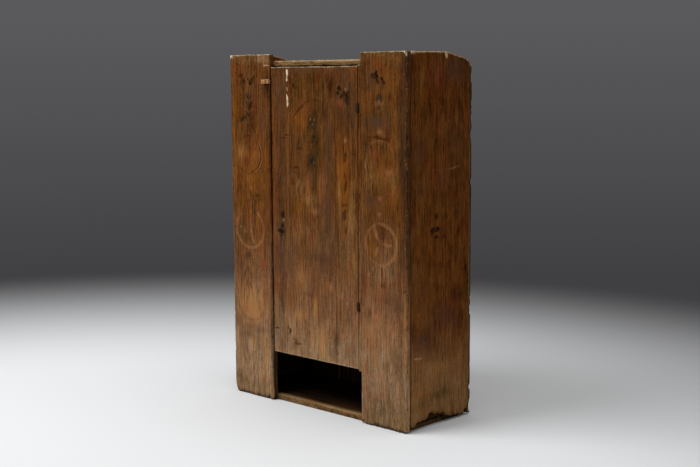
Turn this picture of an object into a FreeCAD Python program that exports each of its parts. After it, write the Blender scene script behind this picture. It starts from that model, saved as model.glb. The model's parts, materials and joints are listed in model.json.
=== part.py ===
"""Rustic plank cupboard: two wide front stiles, one tall ledged door, an open niche below it."""
import FreeCAD
import Part
import os
from FreeCAD import Rotation, Vector

# Overall size of the carcass
overall_width = 1154.0
overall_height = 1700.0
overall_depth = 456.0
cut_overrun = 10.0

# Front stiles, nailed over the front edges of the carcass
stile_thickness = 27.0
left_stile_width = 285.0
right_stile_width = 274.0
stile_arris_radius = 8.0
worn_corner_rise = 48.0
worn_corner_run = 20.0
worn_corner_share = 0.25

# Sides, each of two upright boards
side_thickness = 25.0
side_front_board_width = 244.0
side_rear_drop = 40.0
board_gap = 1.0
decay_height = 60.0
# Lower edge of the decayed right side, front to back, as shares of board width and decay height
right_front_decay_shares = ((0.0, 0.17), (0.38, 0.32), (0.51, 0.75), (0.55, 1.0), (0.70, 0.78), (1.0, 0.5))
right_rear_decay_shares = ((0.0, 0.5), (0.09, 0.37), (0.75, 0.2), (0.91, 0.35), (1.0, 0.57))
sound_foot_shares = ((0.0, 0.0), (1.0, 0.0))

# Back boards, nailed over the rear edges
back_thickness = 16.0
back_floor_gap = 6.0
back_width_shares = (0.27, 0.24, 0.26, 0.23)
back_nail_share = 0.45

# Top, set down between the sides, and bottom on the floor
top_drop = 33.0
top_thickness = 24.0
top_front_board_width = 225.0
bottom_thickness = 28.0
bottom_front_board_width = 250.0

# Shelves and the cleats that carry them and tie the side boards together
shelf_thickness = 22.0
shelf_front_board_width = 196.0
shelf_hardware_gap = 6.0
niche_shelf_lap = 38.0
niche_shelf_gap = 5.0
cleat_width = 24.0
cleat_height = 34.0
cleat_end_gap = 6.0

# Door of three boards, inset between the left stile and the hinge strip
niche_height = 250.0
door_thickness = 25.0
door_setback = 1.0
door_top_gap = 8.0
lock_side_gap = 9.0
hinge_side_gap = 4.0
hinge_strip_width = 16.0
hinge_strip_overhang = 8.0
lock_board_top_width = 115.0
lock_board_bottom_width = 88.0
hinge_board_width = 140.0

# Ledges across the back of the door
ledge_width = 90.0
ledge_thickness = 22.0
ledge_chamfer = 5.0
ledge_end_gap = 14.0
lower_ledge_rise = 73.0
upper_ledge_drop = 90.0

# Iron hinges: a barrel in the joint and flat leaves let into the edges
barrel_radius = 7.5
knuckle_height = 15.0
knuckle_play = 0.6
hinge_pin_radius = 3.6
hinge_running_clearance = 0.08
hinge_cap = 2.0
hinge_proud = 1.5
leaf_thickness = 2.5
leaf_length = 44.0
barrel_relief = 0.8
finial_height = 7.0
crown_height = 3.0
finial_tip_radius = 2.0
upper_hinge_drop = 183.0
lower_hinge_rise = 294.0

# Iron rim lock on the back of the door
keyhole_backset = 72.0
keyhole_rise = 688.0
keyhole_radius = 5.5
keyhole_slot_width = 6.0
keyhole_slot_drop = 20.0
lock_inset = 6.0
lock_width = 105.0
lock_height = 86.0
lock_depth = 18.0
lock_sheet = 2.0
lock_below_keyhole = 36.0
bolt_height = 16.0
bolt_thickness = 8.0
bolt_length = 93.0
bolt_reach = 3.0
bolt_rise = 22.0
bolt_clearance = 0.4
talon_width = 9.0
talon_depth = 5.0
guide_width = 8.0
guide_wall = 2.5
guide_place = 76.0
spring_thickness = 1.2
spring_width = 7.0
spring_end_gap = 18.0

# Wooden turn button on the left stile
button_thickness = 14.0
button_height = 24.0
button_long_arm = 33.0
button_short_arm = 22.5
button_bevel = 5.0
button_inset = 16.0
button_drop = 66.0
button_play = 0.4
pivot_radius = 2.5
pivot_running_clearance = 0.08
pivot_grip = 22.0

# Forged square nails with pyramid heads
nail_head_half = 4.5
nail_head_crown_half = 1.5
nail_head_rise = 2.2
nail_shank_half = 1.7
nail_tip_half = 0.7
nail_grip = 26.0
nail_edge = 40.0
stile_nail_end = 100.0
stile_nail_count = 5
pin_half = 1.1
pin_length = 16.0
pin_edge = 8.0
strip_nail_shares = (0.08, 0.36, 0.62, 0.94)
cleat_nail_shares = (0.18, 0.42, 0.84)
level_nail_shares = (0.25, 0.75)

# Planes that the pieces share
left_x = -overall_width / 2
right_x = overall_width / 2
front_y = -overall_depth / 2
rear_y = overall_depth / 2
inner_left_x = left_x + side_thickness
inner_right_x = right_x - side_thickness
carcass_front_y = front_y + stile_thickness
carcass_rear_y = rear_y - back_thickness
side_seam_y = carcass_front_y + side_front_board_width
left_stile_x = left_x + left_stile_width
right_stile_x = right_x - right_stile_width
strip_x = right_stile_x - hinge_strip_width
top_z = overall_height - top_drop
top_under_z = top_z - top_thickness
door_left_x = left_stile_x + lock_side_gap
door_right_x = strip_x - hinge_side_gap
door_front_y = front_y + door_setback
door_back_y = door_front_y + door_thickness
door_top_z = top_under_z - door_top_gap
strip_bottom_z = niche_height - hinge_strip_overhang
shelf_front_y = door_back_y + max(ledge_thickness, lock_depth) + shelf_hardware_gap
niche_shelf_z = niche_height + niche_shelf_lap
linen_space = (top_under_z - niche_shelf_z - 2 * shelf_thickness) / 3
middle_shelf_z = niche_shelf_z + linen_space + shelf_thickness
upper_shelf_z = middle_shelf_z + linen_space + shelf_thickness
hinge_x = strip_x - hinge_side_gap / 2
hinge_y = front_y - hinge_proud
leaf_rear_y = hinge_y + barrel_radius
leaf_front_y = leaf_rear_y - leaf_thickness
upper_hinge_z = door_top_z - upper_hinge_drop
lower_hinge_z = niche_height + lower_hinge_rise
keyhole_x = door_left_x + keyhole_backset
keyhole_z = niche_height + keyhole_rise
lock_x = door_left_x + lock_inset
lock_z = keyhole_z - lock_below_keyhole
lock_plate_y = door_back_y + lock_depth
bolt_z = keyhole_z + bolt_rise
bolt_y = door_back_y + (lock_depth - lock_sheet) / 2
pivot_x = left_stile_x - button_inset
pivot_z = door_top_z - button_drop
button_rear_y = front_y - button_play
button_front_y = button_rear_y - button_thickness

ALONG_X = Vector(1, 0, 0)
ALONG_Y = Vector(0, 1, 0)
ALONG_Z = Vector(0, 0, 1)


def block(x0, x1, y0, y1, z0, z1):
    """A rectangular block between two corners."""
    return Part.makeBox(x1 - x0, y1 - y0, z1 - z0, Vector(x0, y0, z0))


def board_on_x(points, x0, x1):
    """A board whose (y, z) outline is carried along X."""
    outline = Part.makePolygon([Vector(x0, y, z) for y, z in points + points[:1]])
    return Part.Face(outline).extrude(ALONG_X * (x1 - x0))


def board_on_y(points, y0, y1):
    """A board whose (x, z) outline is carried along Y."""
    outline = Part.makePolygon([Vector(x, y0, z) for x, z in points + points[:1]])
    return Part.Face(outline).extrude(ALONG_Y * (y1 - y0))


def frustum(half_start, half_end, length):
    """A square spike along Y that tapers from one half-width to another."""
    return Part.makeWedge(-half_start, 0, -half_start, -half_end, -half_end,
                          half_start, length, half_start, half_end, half_end)


def placed(shape, place, direction):
    """A copy of a shape made along Y, turned to a direction and moved to a place."""
    copy = shape.copy()
    copy.Placement = FreeCAD.Placement(place, Rotation(ALONG_Y, direction))
    return copy


def nail(place, direction, length):
    """A forged nail whose head sits on the surface at a place."""
    shank = frustum(nail_shank_half, nail_tip_half, length)
    head = frustum(nail_head_half, nail_head_crown_half, nail_head_rise)
    head = placed(head, Vector(0, 0, 0), -ALONG_Y)
    return placed(shank.fuse(head), place, direction)


def pin(place, direction, length):
    """A headless square pin."""
    return placed(frustum(pin_half, pin_half, length), place, direction)


def spread(start, end, shares):
    """Places between two ends."""
    return [start + (end - start) * share for share in shares]


def front_stile(outer_x, inner_x, corner_worn):
    """A wide upright board with a worn outer arris, and a worn outer foot where asked."""
    inward = 1 if inner_x > outer_x else -1
    stile = block(min(outer_x, inner_x), max(outer_x, inner_x), front_y, carcass_front_y, 0, overall_height)
    edges = [edge for edge in stile.Edges
             if edge.BoundBox.XMin == edge.BoundBox.XMax == outer_x and edge.BoundBox.YMax == front_y]
    stile = stile.makeFillet(stile_arris_radius, edges)
    if not corner_worn:
        return stile
    corner = Vector(outer_x, front_y, 0)
    foot = corner + ALONG_X * inward * worn_corner_run
    rise = corner + ALONG_Z * worn_corner_rise
    middle = corner + (foot - corner + rise - corner) * worn_corner_share
    curve = Part.Arc(foot, middle, rise).toShape()
    sides = Part.makePolygon([rise, corner, foot])
    worn = Part.Face(Part.Wire([curve] + sides.Edges)).extrude(ALONG_Y * stile_thickness)
    return stile.cut(worn)


def side_boards(x0, x1, front_shares, rear_shares):
    """The front and rear boards of one side, the rear one sloping down at its top."""
    def foot(start_y, end_y, shares):
        return [(start_y + (end_y - start_y) * along, decay_height * up) for along, up in shares]

    front_end_y = side_seam_y - board_gap / 2
    rear_start_y = side_seam_y + board_gap / 2
    front = foot(carcass_front_y, front_end_y, front_shares)
    front += [(front_end_y, overall_height), (carcass_front_y, overall_height)]
    rear = foot(rear_start_y, carcass_rear_y, rear_shares)
    rear += [(carcass_rear_y, overall_height - side_rear_drop), (rear_start_y, overall_height)]
    return board_on_x(front, x0, x1), board_on_x(rear, x0, x1)


def level_boards(front_start_y, front_width, under_z, thickness):
    """Two boards that lie side by side between the sides, from the front to the back boards."""
    seam_y = front_start_y + front_width
    front = block(inner_left_x, inner_right_x, front_start_y, seam_y, under_z, under_z + thickness)
    rear = block(inner_left_x, inner_right_x, seam_y + board_gap, carcass_rear_y, under_z, under_z + thickness)
    return front, rear


def back_boards():
    """Upright boards across the back, split by the shares of the width."""
    boards = []
    start_x = left_x
    for share in back_width_shares:
        end_x = start_x + overall_width * share
        last = end_x > right_x - board_gap
        shown_end_x = right_x if last else end_x - board_gap
        boards.append(block(start_x, shown_end_x, carcass_rear_y, rear_y,
                            back_floor_gap, overall_height - side_rear_drop))
        start_x = end_x
    return boards


def door_boards():
    """Three upright boards: the lock board tapers, and the middle board follows its slanted seam."""
    seam_top_x = door_left_x + lock_board_top_width
    seam_bottom_x = door_left_x + lock_board_bottom_width
    hinge_seam_x = door_right_x - hinge_board_width
    lock_board = board_on_y([(door_left_x, niche_height), (seam_bottom_x, niche_height),
                             (seam_top_x, door_top_z), (door_left_x, door_top_z)], door_front_y, door_back_y)
    middle_end_x = hinge_seam_x - board_gap
    middle = board_on_y([(seam_bottom_x + board_gap, niche_height), (middle_end_x, niche_height),
                         (middle_end_x, door_top_z), (seam_top_x + board_gap, door_top_z)],
                        door_front_y, door_back_y)
    hinge_board = block(hinge_seam_x, door_right_x, door_front_y, door_back_y, niche_height, door_top_z)
    return lock_board.cut(keyhole()), middle, hinge_board


def keyhole():
    """The through cut for the key: a round eye with a slot below it."""
    start = Vector(keyhole_x, door_front_y - cut_overrun, keyhole_z)
    through = door_thickness + 2 * cut_overrun
    eye = Part.makeCylinder(keyhole_radius, through, start, ALONG_Y)
    half = keyhole_slot_width / 2
    slot = block(keyhole_x - half, keyhole_x + half, start.y, start.y + through,
                 keyhole_z - keyhole_slot_drop, keyhole_z)
    return eye.fuse(slot)


def door_ledge(under_z):
    """A batten across the back of the door with both long edges chamfered."""
    back_y = door_back_y + ledge_thickness
    over_z = under_z + ledge_width
    profile = [(door_back_y, under_z), (back_y - ledge_chamfer, under_z), (back_y, under_z + ledge_chamfer),
               (back_y, over_z - ledge_chamfer), (back_y - ledge_chamfer, over_z), (door_back_y, over_z)]
    return board_on_x(profile, door_left_x + ledge_end_gap, door_right_x - ledge_end_gap)


def hinge_leaf(x0, x1, z0, z1):
    """A flat leaf tangent to the back of the barrel."""
    return block(x0, x1, leaf_front_y, leaf_rear_y, z0, z1)


def door_hinge_half(joint_z):
    """The upper knuckle, crowned and bored for the pin, with its leaf in the door."""
    start_z = joint_z + knuckle_play / 2
    end_z = start_z + knuckle_height
    barrel = Part.makeCylinder(barrel_radius, knuckle_height, Vector(hinge_x, hinge_y, start_z), ALONG_Z)
    crown = Part.makeCone(barrel_radius, finial_tip_radius, crown_height, Vector(hinge_x, hinge_y, end_z), ALONG_Z)
    half = barrel.fuse([crown, hinge_leaf(hinge_x - leaf_length, hinge_x, start_z, end_z)])
    bore = Part.makeCylinder(hinge_pin_radius + hinge_running_clearance, knuckle_height - hinge_cap,
                             Vector(hinge_x, hinge_y, start_z), ALONG_Z)
    return half.cut(bore).removeSplitter()


def stile_hinge_half(joint_z):
    """The lower knuckle with its pin, a pointed end below, and its leaf through the strip into the stile."""
    end_z = joint_z - knuckle_play / 2
    start_z = end_z - knuckle_height
    barrel = Part.makeCylinder(barrel_radius, knuckle_height, Vector(hinge_x, hinge_y, start_z), ALONG_Z)
    point = Part.makeCone(barrel_radius, finial_tip_radius, finial_height,
                          Vector(hinge_x, hinge_y, start_z), -ALONG_Z)
    shaft = Part.makeCylinder(hinge_pin_radius, knuckle_height - hinge_cap,
                              Vector(hinge_x, hinge_y, end_z), ALONG_Z)
    half = barrel.fuse([point, shaft, hinge_leaf(hinge_x, hinge_x + leaf_length, start_z, end_z)])
    return half.removeSplitter()


def barrel_notch(joint_z):
    """Room round a hinge barrel in the edges of the door and the strip."""
    reach = knuckle_height + knuckle_play + finial_height
    start = Vector(hinge_x, hinge_y, joint_z - reach)
    return Part.makeCylinder(barrel_radius + barrel_relief, 2 * reach, start, ALONG_Z)


def lock_case():
    """A sheet-iron box, open towards the door, with a slot for the bolt in its edge."""
    outer = block(lock_x, lock_x + lock_width, door_back_y, lock_plate_y, lock_z, lock_z + lock_height)
    inner = block(lock_x + lock_sheet, lock_x + lock_width - lock_sheet,
                  door_back_y, lock_plate_y - lock_sheet,
                  lock_z + lock_sheet, lock_z + lock_height - lock_sheet)
    return outer.cut([inner, bolt_way(lock_x, lock_x + lock_sheet)])


def bolt_way(x0, x1):
    """The bolt's section with its running clearance, between two places along X."""
    half_y = bolt_thickness / 2 + bolt_clearance
    half_z = bolt_height / 2 + bolt_clearance
    return block(x0, x1, bolt_y - half_y, bolt_y + half_y, bolt_z - half_z, bolt_z + half_z)


def lock_bolt():
    """A flat bar with two notches below it, which the key's bit pushes."""
    start_x = lock_x - bolt_reach
    end_x = start_x + bolt_length
    under_z = bolt_z - bolt_height / 2
    notch_z = under_z + talon_depth
    outline = [(start_x, under_z)]
    for place in (keyhole_x - talon_width, keyhole_x + talon_width):
        left, right = place - talon_width / 2, place + talon_width / 2
        outline += [(left, under_z), (left, notch_z), (right, notch_z), (right, under_z)]
    outline += [(end_x, under_z), (end_x, bolt_z + bolt_height / 2), (start_x, bolt_z + bolt_height / 2)]
    return board_on_y(outline, bolt_y - bolt_thickness / 2, bolt_y + bolt_thickness / 2)


def bolt_guide():
    """A staple riveted to the lock's plate, which the bolt slides through."""
    start_x = lock_x + guide_place - guide_width / 2
    half_z = bolt_height / 2 + bolt_clearance + guide_wall
    front = bolt_y - bolt_thickness / 2 - bolt_clearance - guide_wall
    staple = block(start_x, start_x + guide_width, front, lock_plate_y - lock_sheet,
                   bolt_z - half_z, bolt_z + half_z)
    return staple.cut(bolt_way(start_x, start_x + guide_width))


def bolt_spring():
    """A bowed leaf between the roof of the lock and the top of the bolt."""
    roof_z = lock_z + lock_height - lock_sheet
    low_z = bolt_z + bolt_height / 2 + bolt_clearance
    start_x = lock_x + spring_end_gap
    end_x = lock_x + guide_place - guide_width / 2 - bolt_clearance
    middle_x = (start_x + end_x) / 2
    rear_y = bolt_y - spring_width / 2
    lower = Part.Arc(Vector(start_x, rear_y, roof_z), Vector(middle_x, rear_y, low_z),
                     Vector(end_x, rear_y, roof_z)).toShape()
    inner_start = Vector(start_x + spring_thickness, rear_y, roof_z)
    inner_end = Vector(end_x - spring_thickness, rear_y, roof_z)
    upper = Part.Arc(inner_start, Vector(middle_x, rear_y, low_z + spring_thickness), inner_end).toShape()
    ends = [Part.makeLine(Vector(start_x, rear_y, roof_z), inner_start),
            Part.makeLine(Vector(end_x, rear_y, roof_z), inner_end)]
    return Part.Face(Part.Wire(Part.__sortEdges__([lower, upper] + ends))).extrude(ALONG_Y * spring_width)


def turn_button():
    """A whittled bar, bevelled at its ends, that turns on a nail nearer its right end."""
    left, right = pivot_x - button_long_arm, pivot_x + button_short_arm
    low, high = pivot_z - button_height / 2, pivot_z + button_height / 2
    outline = [(left, low), (right - button_bevel, low), (right, low + button_bevel), (right, high - button_bevel),
               (right - button_bevel, high), (left + button_bevel, high), (left, high - button_bevel)]
    bore = Part.makeCylinder(pivot_radius + pivot_running_clearance, button_thickness,
                             Vector(pivot_x, button_front_y, pivot_z), ALONG_Y)
    return board_on_y(outline, button_front_y, button_rear_y).cut(bore)


def turn_button_nail():
    """The button's nail: a pyramid head, a round neck through the button, a square spike in the stile."""
    head_y = button_front_y - button_play
    head = placed(frustum(nail_head_half, nail_head_crown_half, nail_head_rise),
                  Vector(pivot_x, head_y, pivot_z), -ALONG_Y)
    neck = Part.makeCylinder(pivot_radius, front_y - head_y, Vector(pivot_x, head_y, pivot_z), ALONG_Y)
    spike = placed(frustum(nail_shank_half, nail_tip_half, pivot_grip),
                   Vector(pivot_x, front_y, pivot_z), ALONG_Y)
    return head.fuse([neck, spike])


def side_cleats(under_z, front_y_of_level):
    """The left and right battens under one level."""
    start_y = front_y_of_level + cleat_end_gap
    end_y = carcass_rear_y - cleat_end_gap
    left = block(inner_left_x, inner_left_x + cleat_width, start_y, end_y, under_z, under_z + cleat_height)
    right = block(inner_right_x - cleat_width, inner_right_x, start_y, end_y, under_z, under_z + cleat_height)
    return left, right


# Levels from the floor up: name, underside, thickness, front edge, width of the front board
levels = (
    ("bottom", 0, bottom_thickness, carcass_front_y, bottom_front_board_width),
    ("niche_shelf", niche_shelf_z - shelf_thickness, shelf_thickness, door_back_y + niche_shelf_gap,
     shelf_front_board_width),
    ("middle_shelf", middle_shelf_z - shelf_thickness, shelf_thickness, shelf_front_y, shelf_front_board_width),
    ("upper_shelf", upper_shelf_z - shelf_thickness, shelf_thickness, shelf_front_y, shelf_front_board_width),
    ("top", top_under_z, top_thickness, carcass_front_y, top_front_board_width),
)

parts = {
    "left_stile": front_stile(left_x, left_stile_x, True),
    "right_stile": front_stile(right_x, right_stile_x, False),
    "hinge_strip": block(strip_x, right_stile_x, front_y, carcass_front_y, strip_bottom_z, top_under_z),
}
parts["left_side_front_board"], parts["left_side_rear_board"] = side_boards(
    left_x, inner_left_x, sound_foot_shares, sound_foot_shares)
parts["right_side_front_board"], parts["right_side_rear_board"] = side_boards(
    inner_right_x, right_x, right_front_decay_shares, right_rear_decay_shares)
for number, board in enumerate(back_boards(), 1):
    parts["back_board_%d" % number] = board

cleat_nails = []
level_nails = []
for name, under_z, thickness, level_front_y, front_width in levels:
    parts[name + "_front_board"], parts[name + "_rear_board"] = level_boards(
        level_front_y, front_width, under_z, thickness)
    # The floor's cleats lie on its boards, and every other level lies on its cleats
    cleat_z = under_z + thickness if under_z == 0 else under_z - cleat_height
    parts["left_%s_cleat" % name], parts["right_%s_cleat" % name] = side_cleats(cleat_z, level_front_y)
    nail_top_z = cleat_z + cleat_height if under_z == 0 else under_z + thickness
    cleat_start_y = level_front_y + cleat_end_gap
    cleat_end_y = carcass_rear_y - cleat_end_gap
    for inner_x, outward in ((inner_left_x, -ALONG_X), (inner_right_x, ALONG_X)):
        face_x = inner_x - outward.x * cleat_width
        for place_y in spread(cleat_start_y, cleat_end_y, cleat_nail_shares):
            cleat_nails.append(nail(Vector(face_x, place_y, cleat_z + cleat_height / 2), outward,
                                    cleat_width + side_thickness / 2))
        for place_y in spread(cleat_start_y, cleat_end_y, level_nail_shares):
            level_nails.append(nail(Vector(inner_x - outward.x * cleat_width / 2, place_y, nail_top_z), -ALONG_Z,
                                    thickness + cleat_height / 2))

parts["door_lock_board"], parts["door_middle_board"], parts["door_hinge_board"] = door_boards()
lower_ledge_z = niche_height + lower_ledge_rise
upper_ledge_z = door_top_z - upper_ledge_drop - ledge_width
parts["door_lower_ledge"] = door_ledge(lower_ledge_z)
parts["door_upper_ledge"] = door_ledge(upper_ledge_z)

door_hinge_pins = []
stile_hinge_pins = []
for name, joint_z in (("upper", upper_hinge_z), ("lower", lower_hinge_z)):
    door_half = door_hinge_half(joint_z)
    stile_half = stile_hinge_half(joint_z)
    notch = barrel_notch(joint_z)
    parts["door_hinge_board"] = parts["door_hinge_board"].cut([notch, door_half])
    parts["hinge_strip"] = parts["hinge_strip"].cut([notch, stile_half])
    parts["right_stile"] = parts["right_stile"].cut(stile_half)
    parts["%s_hinge_door_half" % name] = door_half
    parts["%s_hinge_stile_half" % name] = stile_half
    pin_rise = (knuckle_play + knuckle_height) / 2
    for reach in (leaf_length - pin_edge, leaf_length - 2 * pin_edge):
        door_place = Vector(hinge_x - reach, door_front_y, joint_z + pin_rise)
        stile_place = Vector(hinge_x + reach, front_y, joint_z - pin_rise)
        door_hinge_pins.append(pin(door_place, ALONG_Y, pin_length))
        stile_hinge_pins.append(pin(stile_place, ALONG_Y, pin_length))

parts["lock_case"] = lock_case()
parts["lock_bolt"] = lock_bolt()
parts["lock_bolt_guide"] = bolt_guide()
parts["lock_bolt_spring"] = bolt_spring()
parts["turn_button"] = turn_button()
parts["turn_button_nail"] = turn_button_nail()

# Nails through the stiles into the front edges of the sides, the top and the bottom
stile_nails = []
stile_nail_length = stile_thickness + nail_grip
stile_nail_step = (overall_height - 2 * stile_nail_end) / (stile_nail_count - 1)
for outer_x, inner_x in ((left_x, left_stile_x), (right_x, right_stile_x)):
    inward = 1 if inner_x > outer_x else -1
    for number in range(stile_nail_count):
        place_z = stile_nail_end + number * stile_nail_step
        stile_nails.append(nail(Vector(outer_x + inward * side_thickness / 2, front_y, place_z),
                                ALONG_Y, stile_nail_length))
    for place_x in spread(outer_x, inner_x, level_nail_shares):
        for place_z in (bottom_thickness / 2, top_under_z + top_thickness / 2):
            stile_nails.append(nail(Vector(place_x, front_y, place_z), ALONG_Y, stile_nail_length))

# Nails through the back boards into the rear edges of the bottom, the middle shelf and the top
back_nails = []
back_nail_levels = (bottom_thickness * back_nail_share, middle_shelf_z - shelf_thickness * (1 - back_nail_share),
                    top_under_z + top_thickness * back_nail_share)
start_x = left_x
for share in back_width_shares:
    board_width = overall_width * share
    for place_x in (start_x + nail_edge, start_x + board_width - nail_edge):
        for place_z in back_nail_levels:
            back_nails.append(nail(Vector(place_x, rear_y, place_z), -ALONG_Y, back_thickness + nail_grip))
    start_x += board_width

# Nails through each door board into both ledges
ledge_nails = []
ledge_nail_places = (door_left_x + nail_edge, door_left_x + lock_board_top_width + nail_edge,
                     door_right_x - hinge_board_width - nail_edge, door_right_x - hinge_board_width / 2)
for under_z in (lower_ledge_z, upper_ledge_z):
    for number, place_x in enumerate(ledge_nail_places):
        share = level_nail_shares[number % len(level_nail_shares)]
        ledge_nails.append(nail(Vector(place_x, door_front_y, under_z + ledge_width * share), ALONG_Y,
                                door_thickness + ledge_thickness / 2))

# Pins through the hinge strip into the stile's edge
strip_pins = [pin(Vector(strip_x, front_y + stile_thickness / 2, place_z), ALONG_X, hinge_strip_width + nail_grip)
              for place_z in spread(strip_bottom_z, top_under_z, strip_nail_shares)]

# Nails through the corners of the lock's plate into the door
lock_nails = [nail(Vector(place_x, lock_plate_y, place_z), -ALONG_Y, lock_depth + door_thickness / 2)
              for place_x in (lock_x + pin_edge, lock_x + lock_width - pin_edge)
              for place_z in (lock_z + pin_edge, lock_z + lock_height - pin_edge)]

fasteners = {
    "stile_nails": stile_nails,
    "cleat_nails": cleat_nails,
    "shelf_nails": level_nails,
    "back_nails": back_nails,
    "ledge_nails": ledge_nails,
    "door_hinge_leaf_pins": door_hinge_pins,
    "stile_hinge_leaf_pins": stile_hinge_pins,
    "hinge_strip_pins": strip_pins,
    "lock_nails": lock_nails,
}
spikes = [spike for group in fasteners.values() for spike in group] + [parts["turn_button_nail"]]
for name, shape in parts.items():
    if name == "turn_button_nail":
        continue
    through = [spike for spike in spikes if spike.BoundBox.intersect(shape.BoundBox)]
    if through:
        parts[name] = shape.cut(through)
for name, group in fasteners.items():
    parts[name] = Part.makeCompound(group)

os.makedirs("parts", exist_ok=True)
for name, shape in parts.items():
    shape.exportStep(os.path.join("parts", name + ".step"))
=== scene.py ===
import json
import math

import bpy
import numpy as np
from mathutils import Matrix, Vector


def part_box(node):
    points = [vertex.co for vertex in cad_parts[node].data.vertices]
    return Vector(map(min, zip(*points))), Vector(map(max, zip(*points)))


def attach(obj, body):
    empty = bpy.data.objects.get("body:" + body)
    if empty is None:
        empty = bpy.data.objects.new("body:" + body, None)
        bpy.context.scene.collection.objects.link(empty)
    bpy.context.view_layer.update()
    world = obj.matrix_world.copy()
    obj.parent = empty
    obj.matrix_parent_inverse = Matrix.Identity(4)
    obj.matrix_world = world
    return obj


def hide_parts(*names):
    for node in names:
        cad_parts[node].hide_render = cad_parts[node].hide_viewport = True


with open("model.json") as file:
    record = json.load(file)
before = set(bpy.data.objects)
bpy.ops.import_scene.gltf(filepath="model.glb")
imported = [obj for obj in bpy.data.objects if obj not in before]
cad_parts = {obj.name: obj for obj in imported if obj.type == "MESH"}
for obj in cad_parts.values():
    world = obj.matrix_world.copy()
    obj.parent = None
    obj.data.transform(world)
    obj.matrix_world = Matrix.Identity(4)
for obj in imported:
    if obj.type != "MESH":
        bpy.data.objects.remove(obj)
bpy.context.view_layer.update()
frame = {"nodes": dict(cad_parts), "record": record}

# An old pine linen cupboard with worn folk painting. Lengths are in millimetres until a mesh is made.
METRE = 1000.0
AXES = "xyz"
BODIES = frame["record"]["behaviour"]["bodies"]
BODY_OF = {node: body for body, nodes in BODIES.items() for node in nodes}

# How boards, noise and brush strokes are made
BACK_SHARE = 3                          # the hidden face has one grid line for every three of the show face
BACK_ARRIS = 1.2                        # chamfer round the hidden face
ARRIS_LINES = np.array([0.0, 0.08, 0.25, 0.5, 0.85, 1.3])   # grid lines of an arris, in shares of its radius
RIM_ROWS = np.array([0.12, 0.35, 0.65, 0.9, 1.0])           # rows down the rim, in shares of its depth
PLAIN_PITH = (0.4, 90.0, 14.0, 16.0)    # the pith's share of the width, depth under the face, sway and dive
SHARP_ANGLE = math.radians(50)
NOISE_CELLS = 61                        # the noise repeats after so many cells
NOISE_START = (700.3, 700.7)            # cells by which the noise is shifted, so that no place is below zero
STROKE_HALF = 0.62                      # half of a stroke's width, with what its bristles spread
HALF_SEAM = 0.5                         # half of the gap that the solids leave between two boards


def box_mm(node):
    """The low and the high corner of a CAD node, in millimetres."""
    return [np.array(corner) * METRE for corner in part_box(node)]


def linear(code):
    """sRGB hex to linear RGBA: c / 12.92 up to 0.04045, else ((c + 0.055) / 1.055) to the power 2.4."""
    c = np.array([int(code[i:i + 2], 16) for i in (0, 2, 4)]) / 255
    return (*np.where(c <= 0.04045, c / 12.92, ((c + 0.055) / 1.055) ** 2.4).tolist(), 1.0)


def noise(seed, u, cell_u, v=0.0, cell_v=1.0):
    """Value noise from -1 to 1: seeded heights on a lattice of cells, joined by smoothstep weights."""
    heights = np.random.default_rng(seed).uniform(-1, 1, (NOISE_CELLS, NOISE_CELLS))
    gu = np.asarray(u, float) / cell_u + NOISE_START[0]
    gv = np.asarray(v, float) / cell_v + NOISE_START[1]
    gu, gv = np.broadcast_arrays(gu, gv)
    iu, iv = np.floor(gu).astype(int), np.floor(gv).astype(int)
    fu, fv = gu - iu, gv - iv
    fu, fv = fu * fu * (3 - 2 * fu), fv * fv * (3 - 2 * fv)
    h = [[heights[(iu + i) % NOISE_CELLS, (iv + j) % NOISE_CELLS] for j in (0, 1)] for i in (0, 1)]
    return (h[0][0] * (1 - fu) + h[1][0] * fu) * (1 - fv) + (h[0][1] * (1 - fu) + h[1][1] * fu) * fv


def ramp(x, start, end):
    """0 up to start, 1 from end on, and a smoothstep between them."""
    t = np.clip((x - start) / (end - start), 0, 1)
    return t * t * (3 - 2 * t)


def fall(x, start, end):
    """1 up to start, 0 from end on: what a ramp leaves."""
    return 1 - ramp(x, start, end)


def blot(a, g, centre, size):
    """A soft spot: exp(-(distance / size) squared) with its own size across and along."""
    return np.exp(-((a - centre[0]) / size[0]) ** 2 - ((g - centre[1]) / size[1]) ** 2)


def brush(a, g, points, width, belly, soft):
    """Cover of a brush stroke: 1 near the line through the points, 0 past a soft edge at half the width.
    With a belly the half width follows a sine along the line, so the stroke is a leaf.
    Noise makes the edge and the cover uneven, as a hand does."""
    p = np.asarray(points, float)
    cover = np.zeros_like(a)
    low, high = p.min(0) - width - soft, p.max(0) + width + soft
    near = (a > low[0]) & (a < high[0]) & (g > low[1]) & (g < high[1])
    if not near.any():
        return cover
    q = np.stack([a[near], g[near]], 1)[:, None]
    start, step = p[:-1], np.diff(p, axis=0)
    t = np.clip(((q - start) * step).sum(2) / (step ** 2).sum(1), 0, 1)
    gap = np.linalg.norm(q - start - t[..., None] * step, axis=2)
    half = width * STROKE_HALF
    if belly:
        share = (np.arange(len(step)) + t) / len(step)
        half = half * np.sin(np.pi * np.clip(share, 0.03, 0.97)) ** 0.7
    uneven = noise(61, a[near], 11, g[near], 16)
    inside = np.clip((half - gap + 1.3 * uneven[:, None]) / soft + 0.5, 0, 1).max(1)
    cover[near] = inside * (0.85 + 0.3 * uneven)
    return cover


def arc(centre, radius, start, end, squash=1.0):
    """Points on a circle, or on an ellipse squashed across, from one angle to another in degrees."""
    t = np.radians(np.linspace(start, end, 40))
    return np.stack([centre[0] + radius * squash * np.cos(t), centre[1] + radius * np.sin(t)], 1)


def bow(start, middle, end):
    """Points on a quadratic curve that leaves start towards middle and ends at end."""
    t = np.linspace(0, 1, 14)[:, None]
    return (1 - t) ** 2 * np.array(start) + 2 * t * (1 - t) * np.array(middle) + t ** 2 * np.array(end)


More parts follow.
